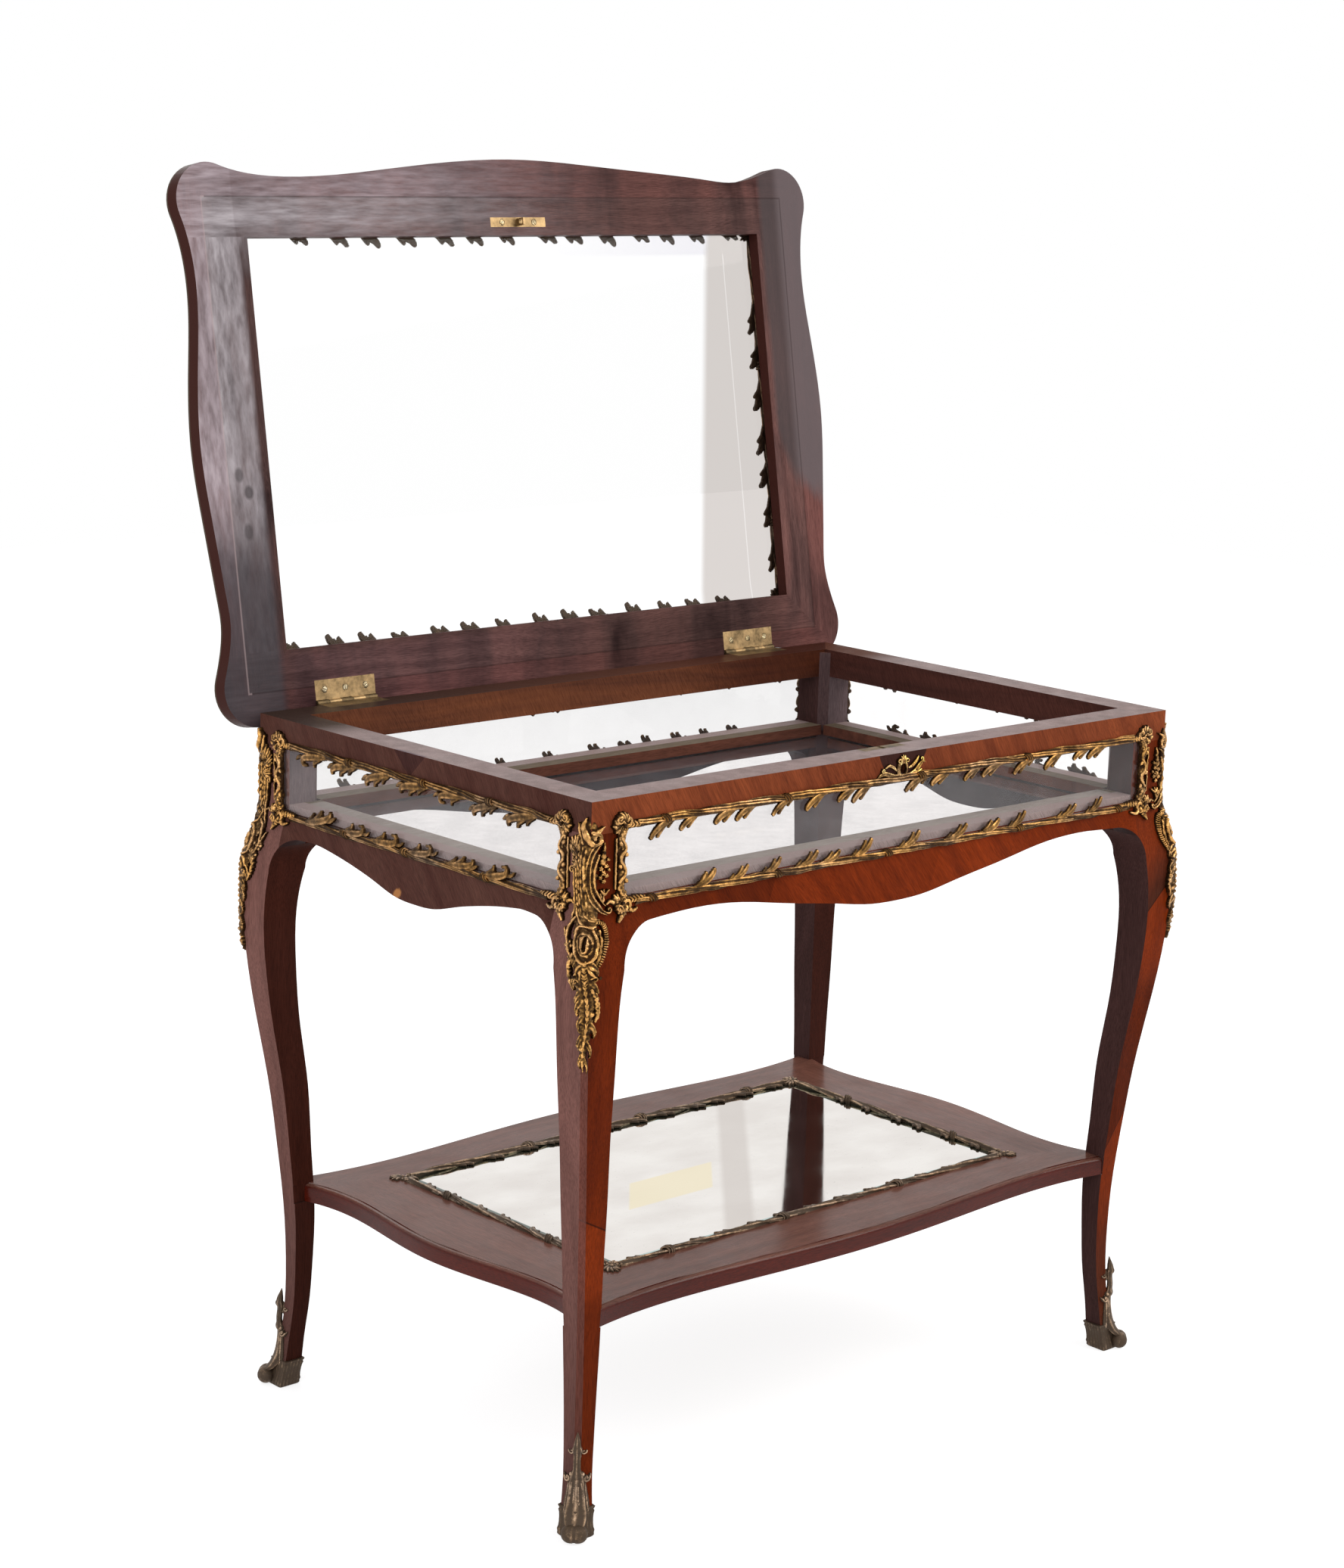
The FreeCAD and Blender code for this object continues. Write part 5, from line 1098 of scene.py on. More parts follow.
def draw_chute():
    """Rococo corner mount: horned head, panel between scrolls, cartouche with a ribbed rim, leafy tail."""
    r = Relief(-32, 30, 482, 727)
    # ground plate that ties the parts together
    r.stroke([(-3, 714, 9, 3.4), (-6, 690, 13, 3.8), (-6, 660, 12.5, 4.0), (-4, 638, 12, 4.0),
              (-4, 615, 14, 4.0), (-4, 598, 14, 4.0), (-3, 578, 11, 4.0), (0, 558, 8, 3.8), (0, 540, 6, 3.6),
              (0, 518, 3.4, 3.4)], full=0.25, lobes=9, bite=0.16)
    # panel of long strands in the middle
    for i, u in enumerate((-13.5, -10.5, -7.5, -4.5)):
        r.stroke([(u + 2.5, 702, 1.5, 4.2), (u, 684, 1.9, 5.4), (u + 0.5, 662, 1.9, 5.6),
                  (u + 2.2, 645, 1.7, 5.0), (u * 0.5 + 1.5, 628, 1.3, 4.2)], ribs=5.5 + i, rib_depth=0.18)
    # left column and knob
    r.stroke([(-20.5, 700, 1.6, 3.2), (-20, 684, 1.5, 4.0), (-17.5, 672, 2.0, 4.5), (-16.5, 655, 1.7, 4.5),
              (-15.5, 640, 1.8, 4.2), (-18.5, 630, 1.5, 3.6), (-22, 622, 1.2, 3.2)])
    r.scroll(-19.5, 673, 3.6, 60, 400, 1.6, 5.6)
    # leaves spread from the head to the left
    r.fan(-8, 686, 100, 168, 7, 5, 22, 2.6, 5.4, curl=-8)
    r.fan(-10, 676, 120, 185, 5, 3, 12, 1.8, 5.8, curl=10)
    # horned head and its scroll
    r.stroke([(1, 700, 3.4, 6.2), (-3, 708, 3.4, 7.2), (-5.5, 716, 2.4, 7.4), (-3.2, 725, 0.9, 6.6)])
    r.stroke([(-1, 701, 2.6, 6.0), (2.5, 708, 2.6, 6.8), (6.5, 713, 1.8, 6.6), (12, 716, 0.8, 5.8)],
             hollow=0.3)
    r.scroll(2.0, 704, 7.2, 95, -430, 1.9, 7.6, shrink=0.2, hollow=0.35)
    r.stroke([(-6, 700, 1.6, 5.0), (-9.5, 711, 2.0, 5.6), (-11.5, 719, 0.9, 4.8)])
    # tall C scroll on the front wing
    r.stroke([(9, 699, 1.2, 5.4), (4.5, 697, 2.3, 6.6), (0.5, 688, 2.4, 7.0), (-1.5, 672, 2.5, 7.0),
              (-0.5, 656, 2.6, 7.0), (3.5, 645, 2.8, 6.8), (10, 637, 2.6, 6.4), (18, 632.5, 1.4, 5.6)],
             hollow=0.55)
    r.stroke([(6.5, 690, 0.8, 4.6), (3.2, 675, 1.1, 5.0), (4.0, 658, 1.2, 5.0), (9.5, 646, 1.2, 4.6),
              (16, 640, 0.8, 4.2)])
    r.scroll(19.5, 636.5, 3.2, 230, 330, 1.3, 5.4)
    # flower cluster and palmette inside the C
    r.stroke([(11.5, 682, 4.6, 4.6), (12.5, 692, 3.0, 4.6), (13.5, 700, 0.9, 4.0)], lobes=4.2, bite=0.4)
    for u, v, size in ((9.5, 676, 3.1), (15.5, 678, 3.1), (12.5, 671.5, 3.6), (8.8, 667.5, 2.7),
                       (16.2, 668.5, 2.8), (12.8, 663.5, 2.9), (17.6, 684, 2.3), (18.8, 674, 2.0)):
        r.boss(u, v, size, size, 5.6, petals=5, hollow=0.25)
        r.boss(u, v, size * 0.32, size * 0.32, 6.0)
    r.stroke([(10, 655, 1.4, 4.2), (14, 651, 2.2, 4.8), (19.5, 655, 0.8, 3.8)])
    r.stroke([(8.5, 652, 1.2, 4.0), (12, 645, 1.8, 4.4), (13.5, 656, 0.8, 3.8)])
    # waist
    r.stroke([(8, 628, 1.6, 5.6), (1, 630, 2.4, 6.0), (-5, 638, 2.2, 5.8), (-9, 648, 1.2, 5.0)], hollow=0.35)
    r.stroke([(5, 623, 1.3, 5.0), (-3, 624, 1.9, 5.6), (-10, 631, 1.6, 5.2), (-13, 641, 0.9, 4.6)])
    # oval cartouche
    r.boss(-2.5, 607, 9.6, 15.5, 5.6, turn=6, hole=0.60, full=0.35)
    r.stroke([(3, 622, 1.3, 6.4), (-6, 623, 1.5, 6.8), (-11.5, 612, 1.6, 6.8), (-10, 597, 1.6, 6.8),
              (-2, 590.5, 1.7, 6.8), (5, 596, 1.6, 6.8), (7, 609, 1.5, 6.8), (3.5, 620, 1.2, 6.4)])
    r.boss(-2.5, 607, 5.2, 10.2, 7.0, turn=6, full=0.6)
    r.stroke([(-2.0, 613, 1.3, 5.0), (-3.0, 602, 1.3, 5.0)], cut=True)
    # ribbed shell rim on the front wing
    r.stroke([(6, 626, 1.2, 5.0), (13, 624.5, 3.0, 5.6), (18.3, 616, 3.4, 5.8), (18.8, 604, 3.2, 5.8),
              (14.5, 592.5, 2.6, 5.4), (9.5, 584, 1.0, 4.6)], ribs=2.3, rib_depth=0.5)
    r.stroke([(10, 619, 1.2, 5.2), (12.6, 609, 1.7, 5.8), (11.6, 598, 1.7, 5.8), (8.2, 588, 1.3, 5.2)],
             hollow=0.3)
    # left leaf cluster
    r.stroke([(-13, 630, 1.3, 4.8), (-19, 624, 1.9, 5.4), (-23.5, 613, 2.0, 5.6), (-22, 600, 1.9, 5.6),
              (-16, 591, 1.3, 5.0)])
    r.boss(-23, 603, 6.2, 6.4, 5.8, petals=6, hollow=0.3)
    r.boss(-23, 603, 2.0, 2.0, 6.8)
    r.boss(-19.5, 592, 4.8, 5.0, 5.6, turn=30, petals=5, hollow=0.3)
    r.stroke([(-16, 596, 3.0, 4.8), (-20.5, 584, 4.0, 5.4), (-18, 572, 3.0, 5.0), (-13, 563, 1.0, 4.2)],
             lobes=4.0, bite=0.45)
    r.stroke([(-28.5, 618, 0.9, 4.0), (-26, 611, 2.2, 4.8), (-22, 604, 1.7, 5.2)])
    # leaf spray under the cartouche
    r.fan(-1, 592, 232, 308, 5, 1, 19, 2.4, 6.2, curl=8)
    r.stroke([(-1, 592, 2.6, 6.2), (-1.5, 580, 3.4, 7.0), (-0.5, 566, 2.6, 6.6), (0, 556, 1.6, 6.0)],
             ribs=3.2, slant=0.9)
    r.scroll(6.5, 575, 3.2, 160, -300, 1.2, 5.6)
    r.scroll(-8.5, 572, 3.0, 20, 300, 1.2, 5.6)
    # tail: hanging leaves on both sides of a stalk, a tassel and the tip
    r.stroke([(-3, 592, 8, 4.2), (-2.5, 576, 11, 4.6), (-0.5, 560, 9.4, 4.6), (0.8, 545, 7.8, 4.6),
              (0.4, 530, 6.4, 4.6), (-0.6, 515, 4.6, 4.6), (-1.4, 500, 2.8, 4.4), (-1.2, 486, 0.8, 4.0)],
             full=0.3, lobes=5.5, bite=0.22)
    for v, reach, broad in ((597, -13, 3.4), (590, 14, 3.2), (579, -13.5, 3.6), (573, 12.5, 3.0),
                            (563, -10, 2.6), (554, -9.5, 3.0), (540, -7.6, 2.2), (533, 8.4, 2.6),
                            (521, -6.4, 2.2), (514, 5.4, 1.9), (503, -4.0, 1.5), (498, 3.2, 1.2)):
        stalk = float(np.interp(v, (486, 545, 592), (-1.2, 0.8, -3)))
        r.stroke([(stalk + 0.1 * reach, v + 4, 0.5 * broad, 5.2), (stalk + 0.50 * reach, v - 1.5, broad, 6.4),
                  (stalk + 0.86 * reach, v - 9, 0.72 * broad, 6.0), (stalk + 0.74 * reach, v - 14.5, 0.6,
                                                                     5.0)], hollow=0.35)
    r.stroke([(4, 566, 1.8, 6.4), (9.0, 556, 3.6, 7.2), (10.2, 544, 3.0, 6.8), (8, 534, 0.9, 5.8)], lobes=4.5,
             bite=0.4, hollow=0.2)
    r.stroke([(-2, 590, 2.6, 6.6), (-1.2, 572, 2.2, 7.2), (1.2, 550, 2.0, 7.2), (0.8, 528, 1.7, 6.8),
              (-1.2, 508, 1.3, 6.2), (-1.6, 490, 0.7, 5.0)], ribs=6.0, slant=0.8, rib_depth=0.2)
    r.rough_cast(0.10, SEED, 0.40)
    return r


class DISPLAY_TABLE_OT_chutes(bpy.types.Operator):
    """Cast corner mounts down the four legs"""
    bl_idname = "display_table.chutes"
    bl_label = "Corner mounts"

    def execute(self, context):
        relief = draw_chute()
        offset = leg_swell(478, 735)
        for name, sign_x, sign_y in CORNERS:
            piece = cast("corner_mount_" + name, relief, corner_place(sign_x, sign_y, offset))
            mount(piece, bpy.data.materials["gilded_cast"], "case", "gilt_bronze", "chute_" + name)
        return {"FINISHED"}


# ---- Rods bound with ribbon and set with leaves, grown by Geometry Nodes in the flat drawing

BROAD, RIBBON, SPLIT = 1, 2, 3
WAVE_LENGTH = 0.110
TWIST = 26.0


class Grow(Nodes):
    """A Geometry Nodes tree with named inputs."""
    family = "GeometryNode"

    def __init__(self, name, sockets):
        super().__init__(bpy.data.node_groups.new(name, "GeometryNodeTree"))
        self.names = {}
        for label, kind, default in sockets:
            socket = self.tree.interface.new_socket(label, in_out="INPUT", socket_type="NodeSocket" + kind)
            if default is not None:
                socket.default_value = default
            self.names[label] = socket.identifier
        self.tree.interface.new_socket("Geometry", in_out="OUTPUT", socket_type="NodeSocketGeometry")
        given = self.tree.nodes.new("NodeGroupInput").outputs
        self.given = {label: Field(self, given[label]) for label in self.names}
        self.result = self.tree.nodes.new("NodeGroupOutput").inputs[0]

    def sized(self, vector, factor):
        return self.node("ShaderNodeVectorMath", {0: vector, "Scale": factor}, "Vector", operation="SCALE")

    def named(self, name, kind="FLOAT"):
        return self.node("InputNamedAttribute", {"Name": name}, "Attribute", data_type=kind)

    def moved(self, geometry, **inputs):
        return self.node("SetPosition", {"Geometry": geometry, **inputs})

    def picked(self, kind):
        """The given points that are marked with a kind."""
        same = self.node("FunctionNodeCompare", {0: self.named("kind"), 1: float(kind), "Epsilon": 0.1},
                         data_type="FLOAT", operation="EQUAL")
        return self.node("SeparateGeometry", {"Geometry": self.given["Geometry"], "Selection": same})

    def planted(self, kind, instance):
        """An instance on each point of a kind, turned and sized as the point says."""
        return self.node("InstanceOnPoints", {"Points": self.picked(kind), "Instance": instance,
                                              "Rotation": self.named("turn", "FLOAT_VECTOR"),
                                              "Scale": self.named("size")})

    def skin(self, curve, profile, caps=True):
        return self.node("CurveToMesh", {"Curve": curve, "Fill Caps": caps, "Profile Curve": profile})

    def lobed_ring(self, radius, points, lobes, depth):
        """Profile curve with lobes round it, which carries the rubbing of its ridges, with painted highlights
        on them and painted shade between them.
        """
        ring = self.node("CurvePrimitiveCircle", {"Resolution": points, "Radius": radius})
        place = self.node("InputPosition")
        x, y, _ = self.parts(place)
        wave = self.math("COSINE", self.math("ARCTAN2", y, x) * lobes)
        ring = self.node("StoreNamedAttribute", {"Geometry": ring, "Name": "wear",
                                                 "Value": self.span(wave, -1.0, 1.0, 0.20, 0.84)},
                         data_type="FLOAT", domain="POINT")
        return self.moved(ring, Position=self.sized(place, self.span(wave, -1.0, 1.0, 1 - depth,
                                                                     1 + depth * 0.3)))


def bound_rod_tree():
    """Reeded rod and winding strand along each path, ribbon turns and leaves on marked points."""
    look = ornament()
    grow = Grow("bound_rod", (("Geometry", "Geometry", None), ("Rod Radius", "Float", look.rod),
                              ("Strand Radius", "Float", look.strand), ("Step", "Float", 0.0016),
                              ("Wave Length", "Float", WAVE_LENGTH), ("Twist", "Float", TWIST),
                              ("Unevenness", "Float", 0.0005), ("Seed", "Float", 0.0),
                              ("Broad Leaf", "Object", None), ("Split Leaf", "Object", None),
                              ("Material", "Material", None)))
    given = grow.given
    curve = grow.node("MeshToCurve", {0: grow.picked(0)})
    curve = grow.node("ResampleCurve", {0: curve, "Length": given["Step"]}, mode="LENGTH")
    noise = grow.node("ShaderNodeTexNoise", {"Vector": grow.node("InputPosition"), "W": given["Seed"],
                                             "Scale": 60.0, "Detail": 1.0}, "Color", noise_dimensions="4D")
    sway = grow.sized(grow.vector("SUBTRACT", noise, grey(0.5)), given["Unevenness"])
    curve = grow.moved(curve, Offset=grow.sized(sway, 3.0))
    along = grow.node("SplineParameter", (), "Length")
    twisted = grow.node("SetCurveTilt", {"Curve": curve, "Tilt": along * given["Twist"]})
    rod = grow.skin(twisted, grow.lobed_ring(given["Rod Radius"], 18, 3, 0.34))
    turn = along * (2 * math.pi) / given["Wave Length"]
    normal = grow.node("InputNormal")
    other = grow.vector("CROSS_PRODUCT", grow.node("InputTangent"), normal)
    swing = grow.vector("ADD", grow.sized(normal, grow.math("COSINE", turn)),
                        grow.sized(other, grow.math("SINE", turn)))
    wound = grow.moved(curve, Offset=grow.sized(swing, given["Rod Radius"] * 0.9))
    strand = grow.skin(wound, grow.lobed_ring(given["Strand Radius"], 8, 2, 0.2))
    ring = grow.node("CurvePrimitiveCircle", {"Resolution": 16, "Radius": given["Rod Radius"]})
    ring = grow.node("Transform", {"Geometry": ring, "Rotation": ALONG_X, "Scale": grey(1.3)})
    band = grow.skin(ring, grow.lobed_ring(0.00115, 8, 2, 0.15), False)
    parts = [rod, strand, grow.planted(RIBBON, band)]
    for kind, label in ((BROAD, "Broad Leaf"), (SPLIT, "Split Leaf")):
        leaf = grow.node("ObjectInfo", {"Object": given[label], "As Instance": True}, "Geometry")
        parts.append(grow.planted(kind, leaf))
    together = grow.tree.nodes.new("GeometryNodeJoinGeometry")
    for part in parts:
        grow.feed(together.inputs[0], part)
    real = grow.node("RealizeInstances", {0: Field(grow, together.outputs[0])})
    smooth = grow.node("SetShadeSmooth", {0: real, "Shade Smooth": True})
    grow.feed(grow.result, grow.node("SetMaterial", {"Geometry": smooth, "Material": given["Material"]}))
    return grow


LEAF_SHAPES = {
    # low leaves of the lid's and the shelf's trims, which rise gently and end in a hooked tip
    "wavy_leaf": (
        ((15, -2.6, 2.2, 3.0), (6, -0.6, 3.6, 3.8), (-3, 2.0, 4.4, 4.4), (-9, 5.0, 3.6, 4.2),
         (-12, 8.6, 2.7, 3.4)),
        ((3, 1.0, 3.0, 4.0), (0, 4.8, 2.7, 3.8), (-1.5, 7.4, 2.1, 3.2))),
    "hooked_leaf": (
        ((15, -2.6, 2.2, 3.0), (4, -0.6, 3.6, 3.8), (-6, 2.0, 4.2, 4.4), (-13, 4.6, 3.4, 4.0),
         (-17, 8.6, 2.5, 3.4)),
        ((-2, 2.2, 3.0, 4.0), (-6.5, 7.4, 2.2, 3.4))),
    # broader leaves with three lobes, which the rods of the end frames carry
    "lobed_leaf": (
        ((-17, -0.6, 2.2, 3.4), (-6, 0.8, 3.6, 4.6), (5, 2.4, 4.4, 5.2), (15, 4.4, 4.0, 5.0),
         (21, 7.6, 3.0, 4.2), (21.5, 10.6, 2.2, 3.4)),
        ((0, 3.4, 3.0, 4.6), (7, 7.2, 3.0, 4.6), (9.4, 10.8, 2.2, 3.6)),
        ((-11, 1.4, 2.4, 3.8), (-5, 4.6, 2.6, 4.2), (-2.0, 8.0, 2.0, 3.4)),
        ((14, 3.4, 2.6, 4.4), (22, 3.8, 2.6, 4.2), (27, 6.4, 1.9, 3.4))),
    "curled_leaf": (
        ((-17, -0.6, 2.2, 3.4), (-5, 0.8, 3.6, 4.6), (8, 2.6, 4.2, 5.0), (17, 5.4, 3.4, 4.6),
         (17.5, 10.4, 2.4, 3.8), (12.6, 10.8, 1.9, 3.2)),
        ((-6, 2.6, 2.8, 4.2), (0.4, 6.4, 2.6, 4.2), (1.4, 9.6, 1.8, 3.4)),
        ((15, 4.2, 2.4, 4.2), (23.4, 5.0, 2.2, 3.8), (27.4, 8.0, 1.5, 3.2))),
    # leaves of the front and back frames
    "broad_leaf": (
        ((-8, -0.6, 1.5, 3.2), (2, 0.2, 2.4, 4.0), (10, 1.6, 3.1, 4.6), (17, 4.0, 3.3, 4.8),
         (22, 7.2, 3.1, 4.4), (24.6, 9.8, 2.7, 3.8)),
        ((3, 1.6, 2.2, 3.8), (8.6, 4.2, 2.6, 4.4), (12.4, 7.6, 2.6, 4.0), (13.8, 9.4, 2.3, 3.6))),
    "split_leaf": (
        ((-9, -0.6, 1.5, 3.2), (3, 0.8, 2.5, 4.2), (12, 3.4, 3.0, 4.6), (19, 7.6, 2.7, 4.2),
         (23, 12.0, 2.3, 3.4)),
        ((2, 1.8, 2.0, 3.8), (8.8, 4.8, 2.5, 4.2), (13.4, 9.4, 2.3, 3.8), (15, 12.4, 1.9, 3.2)),
        ((-6, 0.8, 1.4, 3.0), (-1.6, 3.2, 1.8, 3.4), (1.4, 6.4, 1.5, 3.0))),
}


def leaf_objects(*names, wider=1.0):
    """Small cast leaves with their stalks at the origin, which grow along u and curl up along v."""
    leaves = []
    for name in names:
        r = Relief(-22, 32, -6, 17, 0.9)
        for finger in LEAF_SHAPES[name]:
            r.stroke([(u, v, half * wider, rise) for u, v, half, rise in finger], hollow=0.25)
        leaf = cast(name, r, lambda u, v, h: (u * MM, v * MM, h * MM), 0.0, 0.4)
        leaf.hide_render = True
        leaves.append(leaf)
    return leaves


def grown(name, tree, drawing, leaves, material, place, **inputs):
    """Grows rods, ribbon and leaves over a drawing of (paths, marks) and puts the mesh in place."""
    paths, marks = drawing
    points, edges, rows = [], [], []
    for path in paths:
        edges += [(len(points) + i, len(points) + i + 1) for i in range(len(path) - 1)]
        points += path
        rows += [(0, UPRIGHT, 1.0)] * len(path)
    for kind, at, turn, size in marks:
        points.append(at)
        rows.append((kind, turn, size))
    kinds, turns, sizes = zip(*rows)
    mesh = bpy.data.meshes.new(name)
    mesh.from_pydata([tuple(c * MM for c in point) for point in points], edges, [])
    for label, kind, key, values in (("kind", "FLOAT", "value", kinds), ("size", "FLOAT", "value", sizes),
                                     ("turn", "FLOAT_VECTOR", "vector", np.array(turns, float).ravel())):
        layer = mesh.attributes.new(label, kind, "POINT")
        layer.data.foreach_set(key, values)
    source = bpy.data.objects.new(name, mesh)
    bpy.context.scene.collection.objects.link(source)
    modifier = source.modifiers.new("Bound rod", "NODES")
    modifier.node_group = tree.tree
    settings = {"Broad Leaf": leaves[0], "Split Leaf": leaves[1], "Material": material, **inputs}
    for label, value in settings.items():
        modifier[tree.names[label]] = value
    graph = bpy.context.evaluated_depsgraph_get()
    made = bpy.data.meshes.new_from_object(source.evaluated_get(graph), depsgraph=graph)
    source.modifiers.remove(modifier)
    flat = np.empty(len(made.vertices) * 3)
    made.vertices.foreach_get("co", flat)
    flat = flat.reshape(-1, 3) / MM
    made.vertices.foreach_set("co", np.stack(place(flat[:, 0], flat[:, 1], flat[:, 2]), 1).ravel())
    if mirrored(place):
        made.flip_normals()
    source.data = made
    return source


def side_place(side, offset=None):
    """Carries a drawing on to a face of the case: u to the right as seen from outside, v up."""
    turn = SIDES.index(side)
    reach = HALF_WIDTH if turn % 2 else HALF_DEPTH

    def place(u, v, h):
        out = reach + h
        if offset is not None:
            out = out + np.interp(v, offset[:, 0], offset[:, 1])
        x, y = u, -out
        for _ in range(turn):
            x, y = -y, x
        return x * MM, y * MM, v * MM

    return place


def draw_frame_end():
    """Leafy corners and twisted upright at one end of a pane frame; u runs in from the case's corner."""
    r = Relief(8, 66, 620, 731)
    r.stroke([(36.5, 650, 5.4, 4.2), (37.5, 668, 5.0, 4.4), (37, 690, 5.2, 4.4), (36.5, 708, 5.4, 4.2)],
             ribs=9.5, slant=0.55, rib_depth=0.5)
    r.stroke([(33.6, 660, 2.2, 5.6), (40.4, 670, 2.4, 6.2), (34.0, 682, 2.3, 6.0), (40.2, 692, 2.3, 6.0),
              (35, 702, 2.0, 5.6)])
    for v, u in ((661, 41.5), (675, 33.5), (686, 41), (697, 33.5)):
        r.boss(u, v, 2.6, 3.4, 6.4, turn=25)
    r.stroke([(29.4, 654, 1.1, 3.6), (29.4, 702, 1.1, 3.6)])
    for v, flip in ((715.0, 1), (640.5, -1)):
        r.boss(37, v, 12.6, 12.0, 4.8, petals=9, hollow=0.15, turn=18)
        r.fan(37, v, 50 if flip > 0 else -160, 160 if flip > 0 else -50, 6, 4, 11.6, 3.2, 6.2, 14.0)
        r.fan(36, v, 165, 225 if flip > 0 else 135, 3, 4, 12, 2.9, 5.8, -12.0)
        r.scroll(42.5, v + 3.0 * flip, 5.6, 200, 330 * flip, 2.0, 7.2, shrink=0.3, hollow=0.3)
        r.scroll(31.5, v + 5.5 * flip, 4.4, -30, -320 * flip, 1.7, 6.6)
        r.boss(30.5, v - 5 * flip, 4.2, 5.0, 6.4, petals=5, hollow=0.2)
        r.boss(40.0, v - 5.5 * flip, 3.6, 3.6, 6.8, petals=5, hollow=0.25)
        r.stroke([(45, v - 1 * flip, 3.6, 5.6), (52, v - 1.4 * flip, 4.0, 5.8),
                  (59, v - 1.6 * flip, 3.4, 5.4), (64, v - 1.6 * flip, 2.6, 4.8)], ribs=4.2, slant=0.6,
                 rib_depth=0.45)
        r.stroke([(38, v - 8 * flip, 4.2, 5.8), (35.5, v - 15 * flip, 4.8, 5.8),
                  (38, v - 23 * flip, 3.2, 5.2)], lobes=5, bite=0.35, hollow=0.2)
    r.stroke([(37, 631, 3.6, 5.6), (33, 626.5, 2.8, 5.2), (30.5, 623.5, 1.8, 4.2)])
    r.stroke([(26, 642, 3.0, 5.2), (22, 643, 2.4, 4.4), (18, 641.5, 1.4, 3.6)])
    r.stroke([(45, 633, 3.2, 5.2), (50, 631.5, 2.6, 4.6), (55, 633.0, 1.6, 3.8)])
    r.rough_cast(0.10, SEED + 1, 0.26)
    return r


# Rods of a pane frame: height, places of the leaves' tips on a long and on a short side, bindings, turn, up
RODS = (
    (713.4, (-338, -299, -252, -225, -178, -131, -86, -66, 11, 50, 98, 127, 174, 223, 270, 294),
     (-176, -122, -66, -8, 50, 104, 158), (-325, -165, 25, 188), math.pi, -1),
    (640.2, (-266, -220, -176, -127, -97, -49, 20, 90, 138, 183, 262, 307),
     (-146, -88, -34, 22, 84, 140), (-340, -175, -20, 180, 340), 0.0, 1),
)


def bindings(u, v, h, along=0.0):
    """Marks of one binding: a few slanting turns of ribbon."""
    turns = ornament().turns
    marks = []
    for i in range(turns):
        shift = (i - (turns - 1) / 2) * 3.4
        place = (u + shift * math.cos(along), v + shift * math.sin(along), h)
        marks.append((RIBBON, place, (0.0, 0.0, along + math.radians(32)), 1.12 + 0.12 * (i % 2)))
    return marks


def draw_frame_bars(half, short, rng):
    """Paths and marks of the two long rods of a pane frame, half being half the side's length."""
    share = half / HALF_WIDTH
    end = half - 55
    paths, marks = [], []
    for level, long_tips, short_tips, wraps, turn, up in RODS:
        paths.append([(u, level, 2.9) for u in np.linspace(-end, end, 40)])
        paths.append([(u, level - 2.2 * up, 1.6) for u in np.linspace(-end, end, 40)])
        for i, tip in enumerate(short_tips if short else long_tips):
            if abs(tip) > end - 8:
                continue
            size = (1.02 if short else 0.84) + 0.20 * rng.random()
            lean = turn + math.radians(-4 + 12 * rng.random())
            stalk = tip - math.copysign(12 if short else 17, up) * size
            kind = BROAD if (up < 0) == (i % 4 > 0) else SPLIT
            marks.append((kind, (stalk, level + 1.2 * up, 1.4), (0.0, 0.0, lean), size))
        for at in wraps:
            if abs(at * share) < end - 6:
                marks += bindings(at * share, level - 0.8 * up, 2.4)
    return paths, marks


class DISPLAY_TABLE_OT_pane_frames(bpy.types.Operator):
    """Bound rods with leaves, leafy corners and twisted uprights round the four panes"""
    bl_idname = "display_table.pane_frames"
    bl_label = "Pane frames"

    def execute(self, context):
        rng = np.random.default_rng(SEED)
        tree = bound_rod_tree()
        gilt, dull = (bpy.data.materials[name] for name in ("gilded_cast", "dull_cast"))
        leaves = leaf_objects("broad_leaf", "split_leaf", wider=1.28)
        wide_leaves = leaf_objects("lobed_leaf", "curled_leaf")
        relief = draw_frame_end()
        offset = leg_swell(600, 735)
        for number, side in enumerate(SIDES):
            # Rods and leaves on the end faces take the darker copy of the gilding, as painted shade.
            half, metal, set_leaves = ((HALF_DEPTH, dull, wide_leaves) if number % 2 else (HALF_WIDTH, gilt,
                                                                                           leaves))
            drawing = draw_frame_bars(half, number % 2, rng)
            bars = grown("frame_" + side, tree, drawing, set_leaves, metal, side_place(side),
                         Seed=float(number))
            seat = side_place(side, offset)
            left = cast("frame_left", relief, lambda u, v, h: seat(u - half, v, h))
            right = cast("frame_right", relief, lambda u, v, h: seat(half - u, v, h))
            for end in (left, right):
                end.data.materials.append(gilt)
            piece = joined("frame_" + side, [bars, left, right])
            mount(piece, None, "case", "gilt_bronze", "pane_frame_" + side)
        for leaf in (*leaves, *wide_leaves):
            bpy.data.objects.remove(leaf)
        return {"FINISHED"}


def quarters():
    """(turn, angle, cosine, sine) of the four quarter turns."""
    return [(turn, math.radians(90 * turn), *cs) for turn, cs in enumerate(((1, 0), (0, 1), (-1, 0),
                                                                            (0, -1)))]


